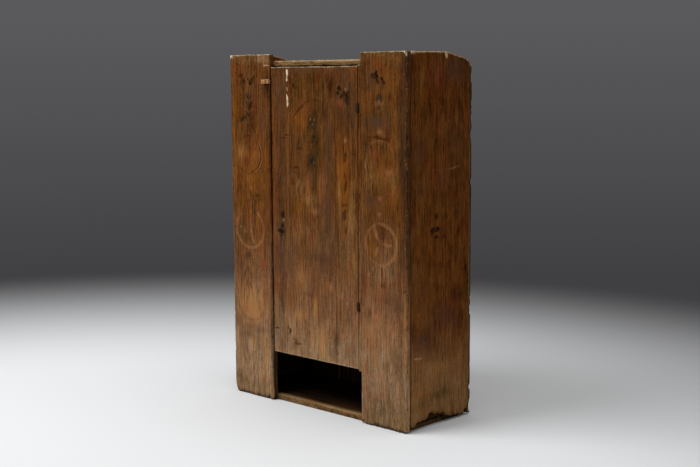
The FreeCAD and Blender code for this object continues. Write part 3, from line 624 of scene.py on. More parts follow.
def left_stile_look(a, g, d, edges):
    """The left stile: black sprays, a chevron plant and three wheels, the uppermost an ochre round."""
    look = stile_look(a, g, d, edges)
    rubbed = fall(edges["left"], 1, 6) * ramp(noise(75, g, 26), -0.1, 0.9)
    look["bare"] += 0.3 * rubbed * fall(d, 4, 8)
    top, middle, low = LEFT_WHEELS
    spots = {
        "fade": ((-340, 1674, 46, 24, 0.55), (-390, 550, 40, 60, 0.25), (-452, 262, 16, 36, 0.4)),
        # A painted shadow under the turn button at (-314, 1526), and painted shade down the gap beside the
        # door at -297 and -300
        "grime": ((-314, 1526, 24, 34, 0.55), (-297, 1250, 9, 330, 0.55), (-297, 600, 9, 480, 0.6),
                  (-568, 420, 12, 90, 0.35), (-450, 340, 80, 28, 0.25), (-300, 280, 13, 240, 0.35)),
        "moss": ((-480, 1440, 60, 110, 0.6), (-505, 1204, 40, 28, 0.9), (-395, 1010, 24, 20, 0.6),
                 (-500, 850, 40, 60, 0.7), (-540, 90, 40, 50, 0.4)),
        "blush": ((-418, 1490, 22, 80, 0.7), (-430, 440, 110, 80, 0.4)),
        "ochre": ((-520, 1490, 30, 70, 0.5), (-556, 1300, 15, 330, 0.7), (-446, 1207, 80, 84, 0.85),
                  (-335, 1150, 24, 100, 0.5), (-405, 1075, 46, 60, 0.7), (-492, 960, 40, 60, 0.5),
                  (-376, 955, 22, 40, 0.7), (-395, 850, 34, 70, 0.5)),
        "dusk": ((-440, 1500, 40, 120, 0.5), (-345, 1390, 26, 110, 0.5), (-440, 1048, 5, 4, 0.8),
                 (-500, 840, 26, 44, 0.5), (-520, 640, 40, 70, 0.5), (-545, 360, 26, 40, 0.7),
                 (-392, 345, 60, 20, 0.45), (-480, 310, 46, 20, 0.5), (-400, 250, 14, 60, 0.4),
                 (-512, 220, 34, 80, 0.5), (-420, 60, 90, 30, 0.35)),
        "straw": ((-505, 1215, 40, 44, 0.35), (-395, 1215, 34, 60, 0.12), (-446, 472, 84, 66, 0.8),
                  (-410, 420, 50, 34, 0.5), (-440, 262, 16, 40, 0.6), (-350, 200, 12, 90, 0.6)),
        "slate": ((-540, 80, 40, 50, 0.35),),
        "rose": ((-400, 1243, 24, 14, 0.8), (-545, 880, 15, 20, 0.9), (-355, 672, 28, 26, 0.7),
                 (-490, 440, 30, 40, 0.4)),
        "rose+rust": ((-469, 1180, 26, 34, 0.55),),
        "chalk": ((-462, 1094, 6, 12, 0.2), (-430, 1086, 6, 8, 0.2), (-440, 1048, 11, 9, 0.3),
                  (-452, 1004, 8, 7, 0.25), (-438, 976, 7, 10, 0.25), (-545, 882, 12, 14, 0.5),
                  (-430, 440, 96, 56, 0.45), (-358, 205, 11, 60, 0.4), (-455, 190, 9, 30, 0.35)),
        "rust": ((-400, 1243, 14, 9, 0.5),),
        "ink": ((-395, 1014, 12, 8, 0.9), (-408, 985, 5, 5, 0.7)),
        "bare": ((-572, 1694, 12, 9, 0.9),),
    }
    strokes = [
        *chevrons("ink", (-443, 1400), (-443, 1492), 4, 27, 27, 9, 0.75),
        *leaves("ink", 1.0, (-502, 1596, 26, -10, 17), (-479, 1573, 28, -70, 15),
                (-450, 1581, 11, 90, 9), (-424, 1568, 36, 25, 21), (-407, 1588, 22, 70, 14),
                (-432, 1556, 16, -10, 9)),
        *leaves("rust", 0.7, (-443, 1641, 16, 80, 10), (-440, 1350, 56, 82, 9),
                (-414, 1352, 56, 102, 9)),
        *leaves("ink", 0.6, (-443, 1507, 36, 90, 12), (-492, 1387, 32, 30, 16),
                (-469, 1394, 24, -60, 12), (-420, 1394, 28, 60, 12)),
        *leaves("slate", 0.6, (-492, 1380, 30, 20, 20), (-404, 1396, 24, 80, 14)),
        *tapers("ink", (11, 0.9, ((-468, 1470), (-443, 1438))),
                (11, 0.9, ((-418, 1468), (-443, 1438))),
                (11, 0.55, bow((-424, 936), (-408, 930), (-392, 916)))),
        *stripes("rust", (6, 0.5, ((-443, 1400), (-443, 1308))),
                 (8, 1.0, ((-443, 1308), (-443, 1210))), (6, 0.8, arc(top, 84, -80, 36)),
                 (5, 0.7, arc(top, 99, -70, 36)), (4, 0.4, arc(top, 92, 225, 300))),
        *stripes("ink", (6, 0.4, arc(top, 96, 78, 166))),
        *stripes("rose", (12, 0.8, ((-443, 1310), (-443, 1206)))),
        *stripes("straw", (6, 0.4, arc(top, 92, -62, 36)), (12, 0.4, arc(low, 88, 170, 350))),
        *tapers("bare", (4, 0.6, ((-338, 1646), (-292, 1647)))),
        *stripes("chalk", (10, 0.55, arc(middle, 93, 195, 330, 1.06)),
                 (9, 0.5, arc(middle, 93, -30, 42, 1.06)), (8, 0.28, arc(middle, 93, 130, 195, 1.06)),
                 (5, 0.55, ((-445, 937), (-445, 808)))),
        *tapers("chalk", (11, 0.7, ((-408, 932), (-370, 908))),
                (12, 0.7, bow((-443, 852), (-446, 800), (-412, 770))),
                (9, 0.5, ((-528, 851), (-504, 851))),
                (8, 0.35, bow((-500, 842), (-490, 830), (-474, 826)))),
        *tapers("rose", (13, 0.6, ((-423, 912), (-423, 878)))),
        *stripes("dusk", (12, 0.8, arc(low, 100, 180, 350))),
    ]
    return dab(look, a, g, d, spots, strokes)


def right_stile_look(a, g, d, edges):
    """The right stile: a black spray, a grey tulip and three wheels, the middle one the clearest."""
    look = stile_look(a, g, d, edges)
    rim = fall(edges["right"] + 6 * noise(68, g, 40), 16, 58)
    arris = fall(edges["right"], 2, 12)
    sooty = 0.5 * rim * ramp(g, 600, 800) * (0.8 + 0.5 * noise(74, a, 9, g, 24))
    look["grime"] = look["grime"] * ramp(edges["right"], 4, 20) + sooty
    look["moss"] += 0.25 * rim
    look["fade"] += 0.12 * fall(edges["right"], 0, 22) * fall(g, 520, 720)
    look["chalk"] += 0.6 * arris * ramp(noise(73, g, 9, a, 6), 0.3, 0.9) * fall(d, 6, 9)
    pits = ramp(noise(69, g, 13, a, 6), 0.4, 0.9)
    look["ink"] += 0.6 * fall(edges["right"], 4, 22) * pits * fall(d, 8, 12)
    look["ink"] += (0.9 - 0.6 * ramp(g, 560, 700)) * ramp(d, 21, 23.5) * arris
    look["dusk"] += 0.3 * rim * ramp(g, 640, 800)
    top, middle, low = RIGHT_WHEELS
    spots = {
        "fade": ((430, 720, 90, 50, 0.18), (385, 500, 40, 60, 0.25)),
        "grime": ((335, 1545, 26, 60, 0.25), (405, 1395, 60, 40, 0.35), (548, 1350, 22, 400, 0.25),
                  (366, 1037, 30, 22, 0.4), (440, 895, 40, 24, 0.3), (300, 620, 16, 130, 0.4),
                  (355, 521, 8, 22, 0.5), (488, 270, 34, 65, 0.2)),
        "moss": ((405, 1395, 70, 45, 0.7), (320, 1204, 14, 40, 0.5), (380, 1140, 50, 60, 0.4),
                 (440, 80, 150, 70, 0.6)),
        "moss+grime": ((456, 1217, 9, 22, 0.6),),
        "blush": ((430, 1610, 26, 30, 0.7), (430, 440, 140, 230, 0.2)),
        "ochre": ((470, 1560, 24, 80, 0.4), (499, 1260, 11, 200, 0.5), (381, 1250, 30, 22, 0.4),
                  (450, 1190, 36, 60, 0.5), (530, 980, 26, 90, 0.6), (365, 830, 26, 50, 0.8)),
        "dusk": ((365, 1590, 26, 60, 0.5), (405, 1388, 70, 40, 0.8), (366, 1034, 36, 36, 0.7),
                 (470, 600, 34, 30, 0.6), (525, 560, 40, 60, 0.8), (556, 470, 20, 40, 0.6),
                 (520, 320, 36, 70, 0.55), (552, 220, 22, 70, 0.5), (362, 200, 30, 80, 0.5),
                 (490, 180, 26, 50, 0.4), (440, 100, 150, 60, 0.35)),
        "straw": ((330, 1205, 12, 40, 0.3), (370, 1140, 40, 50, 0.3), (490, 1140, 26, 50, 0.3),
                  (569, 500, 8, 150, 0.5), (360, 440, 40, 40, 0.3), (390, 300, 26, 60, 0.25)),
        "slate": ((438, 1264, 12, 16, 0.35), (440, 70, 150, 50, 0.25)),
        "rose": ((381, 1250, 34, 20, 0.55), (463, 1168, 24, 16, 0.7), (419, 1051, 18, 11, 0.55),
                 (396, 514, 20, 20, 0.9), (421, 244, 20, 16, 0.5), (432, 190, 9, 36, 0.4),
                 (328, 180, 13, 80, 0.4)),
        "rose+chalk": ((417, 1347, 16, 12, 0.5), (501, 790, 11, 15, 0.7), (421, 142, 24, 7, 0.5)),
        "chalk": ((463, 1168, 16, 10, 0.4), (419, 1051, 12, 8, 0.3), (416, 980, 8, 8, 0.5),
                  (396, 514, 17, 17, 0.9), (400, 440, 90, 60, 0.35), (421, 244, 18, 14, 0.7),
                  (432, 190, 8, 34, 0.4)),
        "rust": ((479, 1500, 9, 18, 0.6), (408, 1322, 26, 8, 0.8), (446, 1312, 14, 10, 0.5),
                 (318, 690, 14, 60, 0.4)),
        "ink": ((566, 645, 7, 5, 1.2),),
    }
    strokes = [
        *leaves("ink", 1.2, (388, 1588, 46, 5, 20), (376, 1593, 24, -30, 15), (401, 1604, 28, 80, 11)),
        *leaves("ink", 1.0, (405, 1568, 30, -60, 16), (430, 1579, 22, -40, 13),
                (442, 1563, 17, -40, 11)),
        *leaves("slate", 0.75, (417, 1490, 34, 90, 34), (416, 1458, 28, 90, 20)),
        *leaves("ink", 0.3, (417, 1498, 24, 90, 20)),
        *leaves("chalk", 0.4, (418, 1478, 30, 90, 11)),
        *leaves("chalk", 0.35, (401, 1470, 26, 100, 8), (434, 1470, 26, 80, 8)),
        *leaves("ink", 0.55, (416, 926, 28, -20, 10), (400, 930, 20, 60, 8), (438, 914, 24, -30, 9),
                (440, 872, 24, 20, 7)),
        *tapers("bare", (8, 0.9, ((556, 1700), (574, 1691))), (6, 0.8, ((573, 1698), (574, 1674)))),
        *tapers("rust", (10, 0.8, ((338, 1322), (400, 1324), (430, 1316), (476, 1314))),
                (6, 0.4, ((418, 672), (442, 656)))),
        *stripes("chalk", (6, 0.22, arc(top, 90, 35, 150)), (12, 0.55, arc(middle, 93, -62, 88)),
                 (11, 0.45, arc(middle, 93, 88, 140)), (8, 0.3, arc(middle, 93, 200, 298)),
                 (11, 0.36, arc(middle, 93, 140, 200)), (6, 0.45, ((421, 735), (421, 670))),
                 (8, 0.15, arc(low, 94, 20, 160))),
        *tapers("chalk", (14, 0.58, bow((385, 920), (394, 884), (412, 858))),
                (11, 0.52, ((432, 848), (462, 843), (496, 847))),
                (14, 0.52, bow((406, 831), (394, 812), (388, 782))),
                (10, 0.5, ((404, 748), (456, 746)))),
        *stripes("rust", (7, 0.9, ((430, 738), (430, 652)))),
        *stripes("bare", (2.5, 0.2, ((429, 20), (428, 250), (430, 480)))),
    ]
    return dab(look, a, g, d, spots, strokes)


def door_look(a, g, d, edges):
    """The door: a great oval round a flower stem, sprays in the corners, scrapes along the slanted seam."""
    look = front_look(a, g, d, edges)
    look["bare"] += 0.3 * fall(edges["low"], 2, 8) * fall(d, 8, 12) * (0.6 + 0.4 * noise(72, a, 20))
    look["grime"] += 0.06 * ramp(g, 900, 1500)
    lip = blot(a, g, (slanted_seam(4)(g), 750), (3.0, 800)) * (0.7 + 0.5 * noise(70, g, 70))
    look["chalk"] += 0.75 * lip * fall(g, 1380, 1500) * fall(d, 6, 10)
    spots = {
        "grime": ((10, 1595, 60, 40, 0.2), (107, 1552, 18, 45, 0.3), (155, 1535, 50, 70, 0.3),
                  (220, 1440, 60, 130, 0.3), (60, 1430, 70, 50, 0.3), (262, 1330, 16, 110, 0.25),
                  (-226, 1180, 15, 280, 0.4), (192, 1007, 16, 8, 0.6), (202, 960, 10, 22, 0.5),
                  (-211, 930, 15, 20, 0.7), (60, 740, 70, 26, 0.25), (-250, 720, 26, 100, 0.2),
                  (-219, 700, 14, 110, 0.45), (-226, 560, 15, 200, 0.5), (139, 364, 16, 36, 0.4)),
        "moss": ((0, 1600, 60, 40, 0.9), (-95, 1555, 40, 40, 0.9), (-10, 1381, 24, 34, 0.8),
                 (2, 1250, 36, 180, 0.9), (-54, 1222, 14, 14, 0.6), (30, 1150, 20, 20, 0.6),
                 (0, 1087, 16, 44, 0.9)),
        "moss+grime": ((127, 800, 9, 36, 0.4),),
        "blush": ((107, 1552, 20, 50, 0.8), (-258, 1500, 24, 140, 0.5), (-262, 800, 20, 260, 0.5),
                  (60, 740, 70, 30, 0.6), (0, 520, 200, 120, 0.3)),
        "ochre": ((-100, 1400, 60, 60, 0.4), (-75, 1375, 44, 30, 0.3), (190, 1150, 44, 160, 0.8),
                  (-100, 960, 50, 60, 0.4)),
        "dusk": ((-60, 1622, 220, 14, 0.6), (-230, 1530, 34, 90, 0.7), (215, 1500, 60, 130, 0.5),
                 (95, 1290, 34, 150, 0.5), (-110, 1200, 40, 120, 0.3), (-215, 1180, 44, 320, 0.35),
                 (92, 985, 36, 90, 0.8), (110, 840, 28, 70, 0.7), (50, 755, 80, 34, 0.9),
                 (-240, 720, 34, 110, 0.65), (-150, 705, 28, 110, 0.65), (60, 690, 70, 20, 0.7),
                 (-25, 605, 40, 40, 0.4), (-40, 562, 44, 9, 0.7), (-226, 560, 22, 220, 0.6),
                 (62, 490, 26, 70, 0.6), (-40, 420, 40, 12, 0.4), (150, 385, 20, 56, 0.9),
                 (-225, 335, 60, 60, 0.45), (240, 325, 50, 55, 0.5), (125, 305, 34, 40, 0.6)),
        "straw": ((-62, 1240, 7, 44, 0.2), (-95, 1080, 36, 50, 0.3), (165, 1040, 10, 120, 0.3),
                  (-20, 1015, 40, 36, 0.4), (240, 950, 26, 90, 0.4), (-95, 865, 46, 50, 0.3),
                  (256, 730, 20, 60, 0.4), (-92, 640, 26, 56, 0.5), (0, 500, 15, 44, 0.6),
                  (-105, 450, 46, 30, 0.5), (-20, 330, 16, 50, 0.4), (50, 328, 26, 60, 0.9)),
        "slate": ((-10, 1381, 18, 28, 0.55), (5, 1310, 24, 22, 0.35), (2, 1260, 34, 170, 0.3),
                  (-10, 1199, 26, 28, 0.9), (6, 1060, 13, 60, 0.4), (-222, 866, 20, 24, 1.1),
                  (210, 480, 34, 60, 0.3), (-126, 326, 26, 16, 0.35), (-140, 292, 46, 20, 0.3)),
        "rose": ((172, 1474, 21, 15, 0.9), (-268, 1250, 9, 260, 0.25), (-266, 800, 13, 120, 0.15),
                 (190, 523, 6, 40, 0.4), (184, 394, 13, 15, 0.35), (222, 331, 14, 10, 0.3)),
        "rose+chalk": ((56, 1090, 22, 60, 0.25), (-32, 1085, 20, 44, 0.35), (8, 962, 20, 18, 0.5),
                       (110, 616, 15, 20, 0.6), (172, 580, 12, 11, 0.6), (222, 332, 14, 10, 0.45)),
        "chalk": ((210, 1533, 6, 6, 0.6), (-18, 1394, 4, 5, 0.7), (6, 1392, 4, 4, 0.6),
                  (-4, 1372, 4, 5, 0.7), (207, 1303, 7, 11, 0.9), (-14, 1216, 4, 4, 0.6),
                  (2, 1192, 4, 5, 0.5), (-70, 620, 40, 40, 0.25), (182, 392, 14, 14, 0.6),
                  (43, 340, 20, 44, 0.5), (-131, 330, 10, 9, 0.4)),
        "rust": ((-132, 1550, 10, 13, 0.7), (-88, 1256, 12, 8, 0.8)),
        # The ink spots at (276, 1450) and (276, 542) darken the door's edge by the hinge barrels: stain, and
        # partly painted shade of the barrels
        "ink": ((-130, 1552, 6, 8, 0.5), (276, 1450, 8, 14, 0.4), (14, 1382, 5, 7, 0.7),
                (-26, 1374, 5, 6, 0.7), (-2, 1354, 7, 6, 0.7), (3, 1313, 10, 8, 0.9),
                (-6, 1290, 8, 5, 0.7), (26, 1290, 8, 5, 0.7), (212, 1236, 5, 15, 0.6),
                (-12, 1208, 13, 14, 0.6), (-28, 1192, 8, 9, 0.5), (10, 1180, 9, 8, 0.5),
                (212, 1105, 6, 18, 0.6), (-210, 932, 8, 14, 3.0), (-216, 878, 7, 10, 1.3),
                (-229, 853, 17, 7, 2.4), (-213, 848, 9, 6, 1.8), (-222, 836, 7, 10, 1.5),
                (276, 542, 8, 14, 0.4)),
        "bare": ((-206, 908, 5, 6, 0.25),),
    }
    strokes = [
        *leaves("ink", 0.9, (172, 1535, 30, -15, 18), (158, 1516, 20, -30, 13),
                (212, 1509, 36, -20, 25), (216, 1482, 36, -80, 25), (188, 1503, 20, 60, 10),
                (232, 1520, 18, 50, 9)),
        *leaves("ink", 0.6, (-111, 1538, 30, 5, 6), (-8, 1205, 40, 80, 22), (-4, 1384, 30, 80, 14),
                (14, 1352, 26, 60, 12)),
        *leaves("rust", 0.7, (208, 1226, 46, 80, 16), (204, 1140, 30, 100, 9), (210, 1090, 62, 82, 13),
                (204, 1002, 40, 15, 9), (206, 960, 52, 78, 20), (214, 890, 44, 85, 10)),
        *leaves("rust", 0.8, (-115, 1162, 38, 0, 11), (-100, 1254, 26, 0, 8)),
        *leaves("slate", 0.6, (222, 1446, 46, 80, 17)),
        *leaves("slate", 0.7, (22, 1370, 40, 60, 14), (-22, 1350, 36, 120, 12), (20, 1228, 36, 60, 14),
                (-28, 1216, 30, 120, 12)),
        *stripes("bare", (9, 1.0, ((-172, 1620), (-171, 1602))),
                 (6, 1.0, ((-170, 1606), (-174, 1576))), (5, 0.8, ((-172, 1541), (-171, 1529)))),
        *tapers("bare", (10, 1.1, ((-176, 1508), (-171, 1485), (-170, 1462), (-173, 1450)))),
        *stripes("rust", (6, 0.55, arc(start=80, end=122, **OVAL)), (3, 0.4, ((123, 726), (218, 698))),
                 (3, 0.3, ((135, 700), (215, 724)))),
        *tapers("ink", (14, 0.5, bow((-128, 1408), (-98, 1440), (-58, 1462))),
                (10, 1.0, ((-182, 398), (-183, 380), (-167, 371), (-174, 357), (-164, 345))),
                (7, 0.6, ((-113, 334), (-98, 347)))),
        *stripes("chalk", (8, 0.5, arc(start=238, end=296, **OVAL)),
                 (4, 0.55, ((224, 936), (224, 634)))),
        *stripes("ink", (4, 0.9, ((-196, 1317), (-145, 1317))),
                 (3.5, 0.6, ((-226, 1303), (-175, 1303))),
                 (8, 0.7, ((-145, 346), (-147, 331), (-127, 325), (-138, 313), (-117, 309), (-98, 314))),
                 (6, 1.2, ((-274, 371), (-250, 371))), (3, 0.5, ((218, 666), (218, 618)))),
        *stripes("slate", (7, 0.4, ((0, 1420), (0, 1120)))),
        *tapers("slate", (7, 0.5, bow((225, 560), (240, 535), (222, 510))),
                (7, 0.5, bow((222, 510), (205, 480), (226, 445)))),
    ]
    return dab(look, a, g, d, spots, strokes)


def side_look(a, g, d, edges):
    """The sides: waxed dark, paler and drier at the foot (wear, partly a painted reflection of the pale
    floor), dirt in the stile's joint, painted shade on the inner face, darkest in the niche, bare along the
    top.
    """
    look = no_marks(a)
    look["fade"] = 0.8 * fall(g, 90, 520)
    look["moss"] = 0.4 * fall(g, 40, 200)
    look["grime"] = 0.4 * fall(edges["low"], 0, 20) + 0.4 * fall(a, STILE_BACK - 1, STILE_BACK + 7)
    look["grime"] += 0.1 * fall(a, STILE_BACK + 7, STILE_BACK + 61)
    # Painted shade on the inner face under the top, darker in the niche
    inside_shade = 0.3 + 0.65 * fall(g, *NICHE_SHADE)
    look["grime"] += ramp(d, 12, 20) * inside_shade * fall(g, TOP_LOW - 7, TOP_LOW + 13)
    end = fall(edges["high"], 1, 6)
    look["fade"] += 0.6 * end
    look["bare"] = end * (0.45 + 0.2 * noise(78, a, 16) + 0.2 * noise(79, a, 5) - 0.15 * ramp(d, 4, 12))
    return look


def right_side_look(a, g, d, edges):
    """The right side's own marks: a painted spray, scratches, damp patches and chips along the top."""
    look = side_look(a, g, d, edges)
    spots = {
        "fade": ((-22, 268, 70, 36, 0.3),),
        "grime": ((165, 1120, 50, 130, 0.25), (130, 582, 55, 26, 0.5), (160, 480, 30, 40, 0.3),
                  (-103, 430, 40, 36, 0.25)),
        "moss": ((-5, 143, 120, 30, 0.9),),
        "blush": ((-30, 1540, 55, 90, 0.8), (80, 520, 90, 60, 0.5)),
        "dusk": ((105, 1620, 80, 50, 0.7), (120, 1300, 60, 110, 0.3), (-140, 1250, 30, 60, 0.6),
                 (-130, 1090, 30, 30, 0.5), (40, 500, 90, 60, 0.6), (-120, 400, 70, 50, 0.7)),
        "straw": ((-130, 1560, 10, 70, 0.5), (30, 1370, 26, 40, 0.35), (-150, 960, 16, 130, 0.4),
                  (-165, 680, 26, 90, 0.4), (-110, 510, 60, 50, 0.35), (-185, 320, 20, 60, 0.3),
                  (150, 300, 20, 60, 0.4), (0, 268, 60, 30, 0.8), (-130, 165, 70, 40, 0.6)),
        "slate": ((-10, 143, 80, 24, 0.6), (-120, 110, 70, 20, 0.35)),
        "rose": ((-20, 1590, 60, 60, 0.45), (25, 1452, 16, 8, 0.5), (20, 1120, 34, 60, 0.4),
                 (-130, 620, 50, 60, 0.4), (150, 230, 50, 40, 0.3)),
        "chalk": ((-130, 735, 16, 30, 0.25),),
        "ink": ((25, 1481, 8, 16, 0.7), (-24, 966, 8, 13, 0.8), (-24, 962, 9, 15, 0.7),
                (194, 706, 6, 22, 1.2), (201, 630, 3, 50, 0.9)),
        "bare": ((-192, 1694, 16, 6, 0.8),),
    }
    strokes = [
        *leaves("ink", 1.0, (-31, 899, 80, 4, 21), (-27, 869, 36, 0, 11), (-54, 886, 26, 30, 10)),
        *leaves("ink", 0.6, (30, 866, 46, -12, 12)),
        *tapers("bare", (13, 1.0, ((38, 1701), (45, 1670))), (7, 0.28, ((-176, 336), (-150, 333))),
                (8, 0.28, ((-152, 332), (-120, 331))),
                (5, 0.14, bow((50, 1174), (100, 1173), (150, 1188)))),
        *tapers("rose", (8, 0.6, ((-110, 1174), (50, 1176)))),
    ]
    return dab(look, a, g, d, spots, strokes)


def inner_look(a, g, d, edges):
    """The unfinished boards: even, with darker edges."""
    look = no_marks(a)
    look["fade"] += 0.1
    look["grime"] = 0.35 * fall(np.minimum(edges["left"], edges["right"]), 0, 10)
    return look


def niche_shade_look(a, g, d, edges):
    """Boards deep in the niche: darkened nearly black, painted shade of the niche."""
    look = inner_look(a, g, d, edges)
    # Painted shade of the niche
    look["grime"] += 0.75
    return look


def back_look(a, g, d, edges):
    """The back: greyed by dust outside, darkened inside as painted shade, most where it closes the niche."""
    look = inner_look(a, g, d, edges)
    look["fade"] = 0.25 + 0.2 * noise(71, a, 120, g, 400)
    side = np.minimum(edges["left"], edges["right"])
    inside = ramp(d, 8, 14) * ramp(side, 0.5, 3)
    look["grime"] = 0.8 * fall(side, 0.6, 3.5) * fall(d, 8, 12)
    # Painted shade on the inner face, darker in the niche
    look["grime"] += inside * (0.35 + 0.6 * fall(g, *NICHE_SHADE))
    return look


def top_look(a, g, d, edges):
    """The top: its front edge is rubbed pale, most of all along the arris, with chips and dark pits."""
    look = inner_look(a, g, d, edges)
    front = fall(edges["left"], 2, 12)
    look["fade"] += 0.42 * front
    look["bare"] = 0.75 * front * fall(d, 2, 7) * (0.55 + 0.45 * noise(79, g, 30))
    look["grime"] = look["grime"] * (1 - front) + 0.7 * front * ramp(noise(80, g, 26, d, 9), 0.35, 0.8)
    return look


def bottom_look(a, g, d, edges):
    """The floor of the niche: darkened inside as painted shade, its front arris rubbed pale by feet, its edge
    pitted.
    Its ends, one of which shows under the right side's foot, are paler below, darkened above as painted shade
    under the foot."""
    look = inner_look(a, g, d, edges)
    front = fall(edges["left"], 10, 46)
    outer = ramp(np.abs(g), BOTTOM_END - 7, BOTTOM_END)
    pits = 0.6 * ramp(noise(81, g, 22, d, 9), 0.15, 0.8) * ramp(d, 2, 6)
    # Inside the niche, painted shade; on the front edge, pits
    grime = 0.88 * (1 - front) + front * (0.3 * ramp(d, 12, 24) + pits)
    # The ends are darkened near the top as painted shade under the side's foot
    look["grime"] = grime * (1 - 0.6 * outer) + outer * (0.1 + 0.6 * fall(d, 4, 13))
    look["fade"] = 0.55 * front + 0.3 * outer
    look["bare"] = 0.3 * fall(edges["left"], 1, 9) * fall(d, 1, 5) * (0.6 + 0.4 * noise(82, g, 24))
    return look


# Outlines and wear. A wear is a function of the side or end (0 or 1), the place along it and the depth.
BARREL_GAP, BARREL_DEPTH = 0.7, 7.0     # room over and under a hinge barrel, and how deep the edge is cut
BARRELS = [(box_mm(f"{hinge}_hinge_stile_half")[0][2] - BARREL_GAP,
            box_mm(f"{hinge}_hinge_door_half")[1][2] + BARREL_GAP) for hinge in ("lower", "upper")]
DOOR_HEAD, DOOR_HEAD_SWAY = TOP_LOW - 4.4, 0.6
BACK_HALF, _, BACK_TOP = box_mm("back_board_4")[1]
BACK_FALL, BACK_ROUND = 24.0, 77.0          # how far the back's upper corners fall, and over what width
STILE_OUTER = box_mm("left_stile")[0][0]
CORNER_RISE, CORNER_RUN = 48.0, 20.0        # height and width of the left stile's worn corner
SIDE_SEAM = box_mm("right_side_rear_board")[0][1]
_, SIDE_REAR, SIDE_HEAD = box_mm("right_side_rear_board")[1]
HEAD_FALL, HEAD_END_FALL = 34.0, 14.0       # fall of the sides' heads along the rear board, and at its end
KEYHOLE = {"eye": (-211.0, 938.0), "radius": 5.5, "slot_width": 6.0, "slot_drop": 20.0,
           "depth": (-235.0, -195.0)}


def closed_seam(node, axis, end):
    """A straight edge of a board, moved out to close half of a seam, so that no light comes through."""
    place = box_mm(node)[end][AXES.index(axis)] + (HALF_SEAM if end else -HALF_SEAM)
    return lambda g: place + 0 * g


def foot_line(node, shares, height):
    """A decayed foot: heights of the lower edge, from pairs of shares of the width and of a height."""
    start, end = (corner[1] for corner in box_mm(node))
    at, up = np.array(shares).T
    return lambda a: np.interp((a - start) / (end - start), at, up) * height


def chips(seed, cell, often, deep, reach):
    """Wear of a side: bites where a noise stands above a level, deepest at the face, gone at a reach."""
    def bites(k, g, d):
        rough = noise(seed + k, g, cell) + 0.4 * noise(seed + 9 + k, g, cell / 3)
        over = np.maximum(rough - 1 + often, 0) / often
        return np.minimum(over, 1) ** 0.7 * deep * np.clip(1 - d / reach, 0, 1)
    return bites


def splinters(seed, cell, foot, head):
    """Wear of both ends: torn fibres, the square of a noise of narrow and wide cells."""
    def torn(k, a, d):
        ragged = 0.5 + 0.35 * noise(seed + k, a, cell) + 0.15 * noise(seed + 9 + k, a, cell * 4)
        return (foot, head)[k] * ragged ** 2
    return torn


def rotten_foot(seed, deep):
    """Wear of the ends: at the foot long torn fibres in narrow and wide cells, deeper at the face than
    behind it, and at the head a little of the same."""
    def torn(k, a, d):
        ragged = 0.45 + 0.4 * noise(seed, a, 12) + 0.4 * noise(seed + 1, a, 34)
        return (deep, 3.0)[k] * np.clip(ragged, 0, 1) ** 1.4 * (1 - 0.5 * ramp(d, 4, 22))
    return torn


def barrel_room(k, g, d):
    """Wear of a side that leaves room for the two hinge barrels, from the face to just under them."""
    room = np.zeros_like(g)
    for low_z, high_z in BARRELS:
        room = np.maximum(room, ramp(g, low_z - 2, low_z) * fall(g, high_z, high_z + 2))
    return BARREL_DEPTH * room * fall(d, 6, 9)


def only(side, wear):
    """A wear on one of the two sides or ends alone."""
    return lambda k, place, d: wear(k, place, d) if k == side else np.zeros_like(place)


def slanted_seam(gap):
    """The seam between lock board and middle board, which leans from foot to head."""
    return lambda g: SEAM_FOOT + gap + SEAM_LEAN * (g - DOOR_LOW) / (DOOR_HIGH - DOOR_LOW)


def door_head(a):
    """The door's upper edge, a little out of level, about 4 mm under the top board."""
    return DOOR_HEAD + DOOR_HEAD_SWAY * noise(66, a, 160)


def back_head(a):
    """The upper ends of the back boards, rounded down behind the sides' falling heads."""
    return BACK_TOP - BACK_FALL * ramp(np.abs(a), BACK_HALF - BACK_ROUND, BACK_HALF) ** 2


def worn_corner(a):
    """The left stile's outer foot, rubbed round: a rise at the edge that falls to nothing as a square."""
    return CORNER_RISE * np.maximum(1 + (STILE_OUTER - a) / CORNER_RUN, 0) ** 2


def sloped_head(a):
    """The heads of the sides' rear boards fall evenly from their seam, and steeply at the very back."""
    s = (a - SIDE_SEAM) / (SIDE_REAR - SIDE_SEAM)
    return SIDE_HEAD - HEAD_FALL * s - HEAD_END_FALL * np.maximum(s, 0) ** 14


def button_edge(height, slope):
    """A long edge of the whittled button: its height at the outer tip and its slope from there."""
    tip = box_mm("turn_button")[0][0]
    return lambda g: height + slope * (g - tip)


def cut_keyhole(piece, eye, radius, slot_width, slot_drop, depth):
    """Cuts a keyhole through a board: a round eye over a slot, as one outline carried straight through."""
    half = math.asin(slot_width / 2 / radius)
    t = np.linspace(-np.pi / 2 + half, 3 * np.pi / 2 - half, 28)
    outline = np.stack([eye[0] + radius * np.cos(t), eye[1] + radius * np.sin(t)], 1)
    slot_foot = [(eye[0] + side * slot_width / 2, eye[1] - slot_drop) for side in (-1, 1)]
    outline = np.concatenate([outline, slot_foot])
    count = len(outline)
    points = np.concatenate([np.insert(outline, 1, y, axis=1) for y in depth])
    i = np.arange(count)
    walls = np.stack([i, np.roll(i, -1), np.roll(i, -1) + count, i + count], 1)
    mesh = bpy.data.meshes.new("keyhole_punch")
    mesh.from_pydata((points / METRE).tolist(), [], walls.tolist() + [i[::-1].tolist(), (i + count).tolist()])
    punch = bpy.data.objects.new("keyhole_punch", mesh)
    bpy.context.scene.collection.objects.link(punch)
    cut = piece.modifiers.new("keyhole", "BOOLEAN")
    cut.object, cut.solver = punch, "EXACT"
    bpy.context.view_layer.update()
    board_mesh, piece_name = piece.data, piece.data.name
    piece.data = bpy.data.meshes.new_from_object(piece.evaluated_get(bpy.context.evaluated_depsgraph_get()))
    piece.modifiers.clear()
    bpy.data.objects.remove(punch)
    bpy.data.meshes.remove(mesh)
    bpy.data.meshes.remove(board_mesh)
    piece.data.name = piece_name


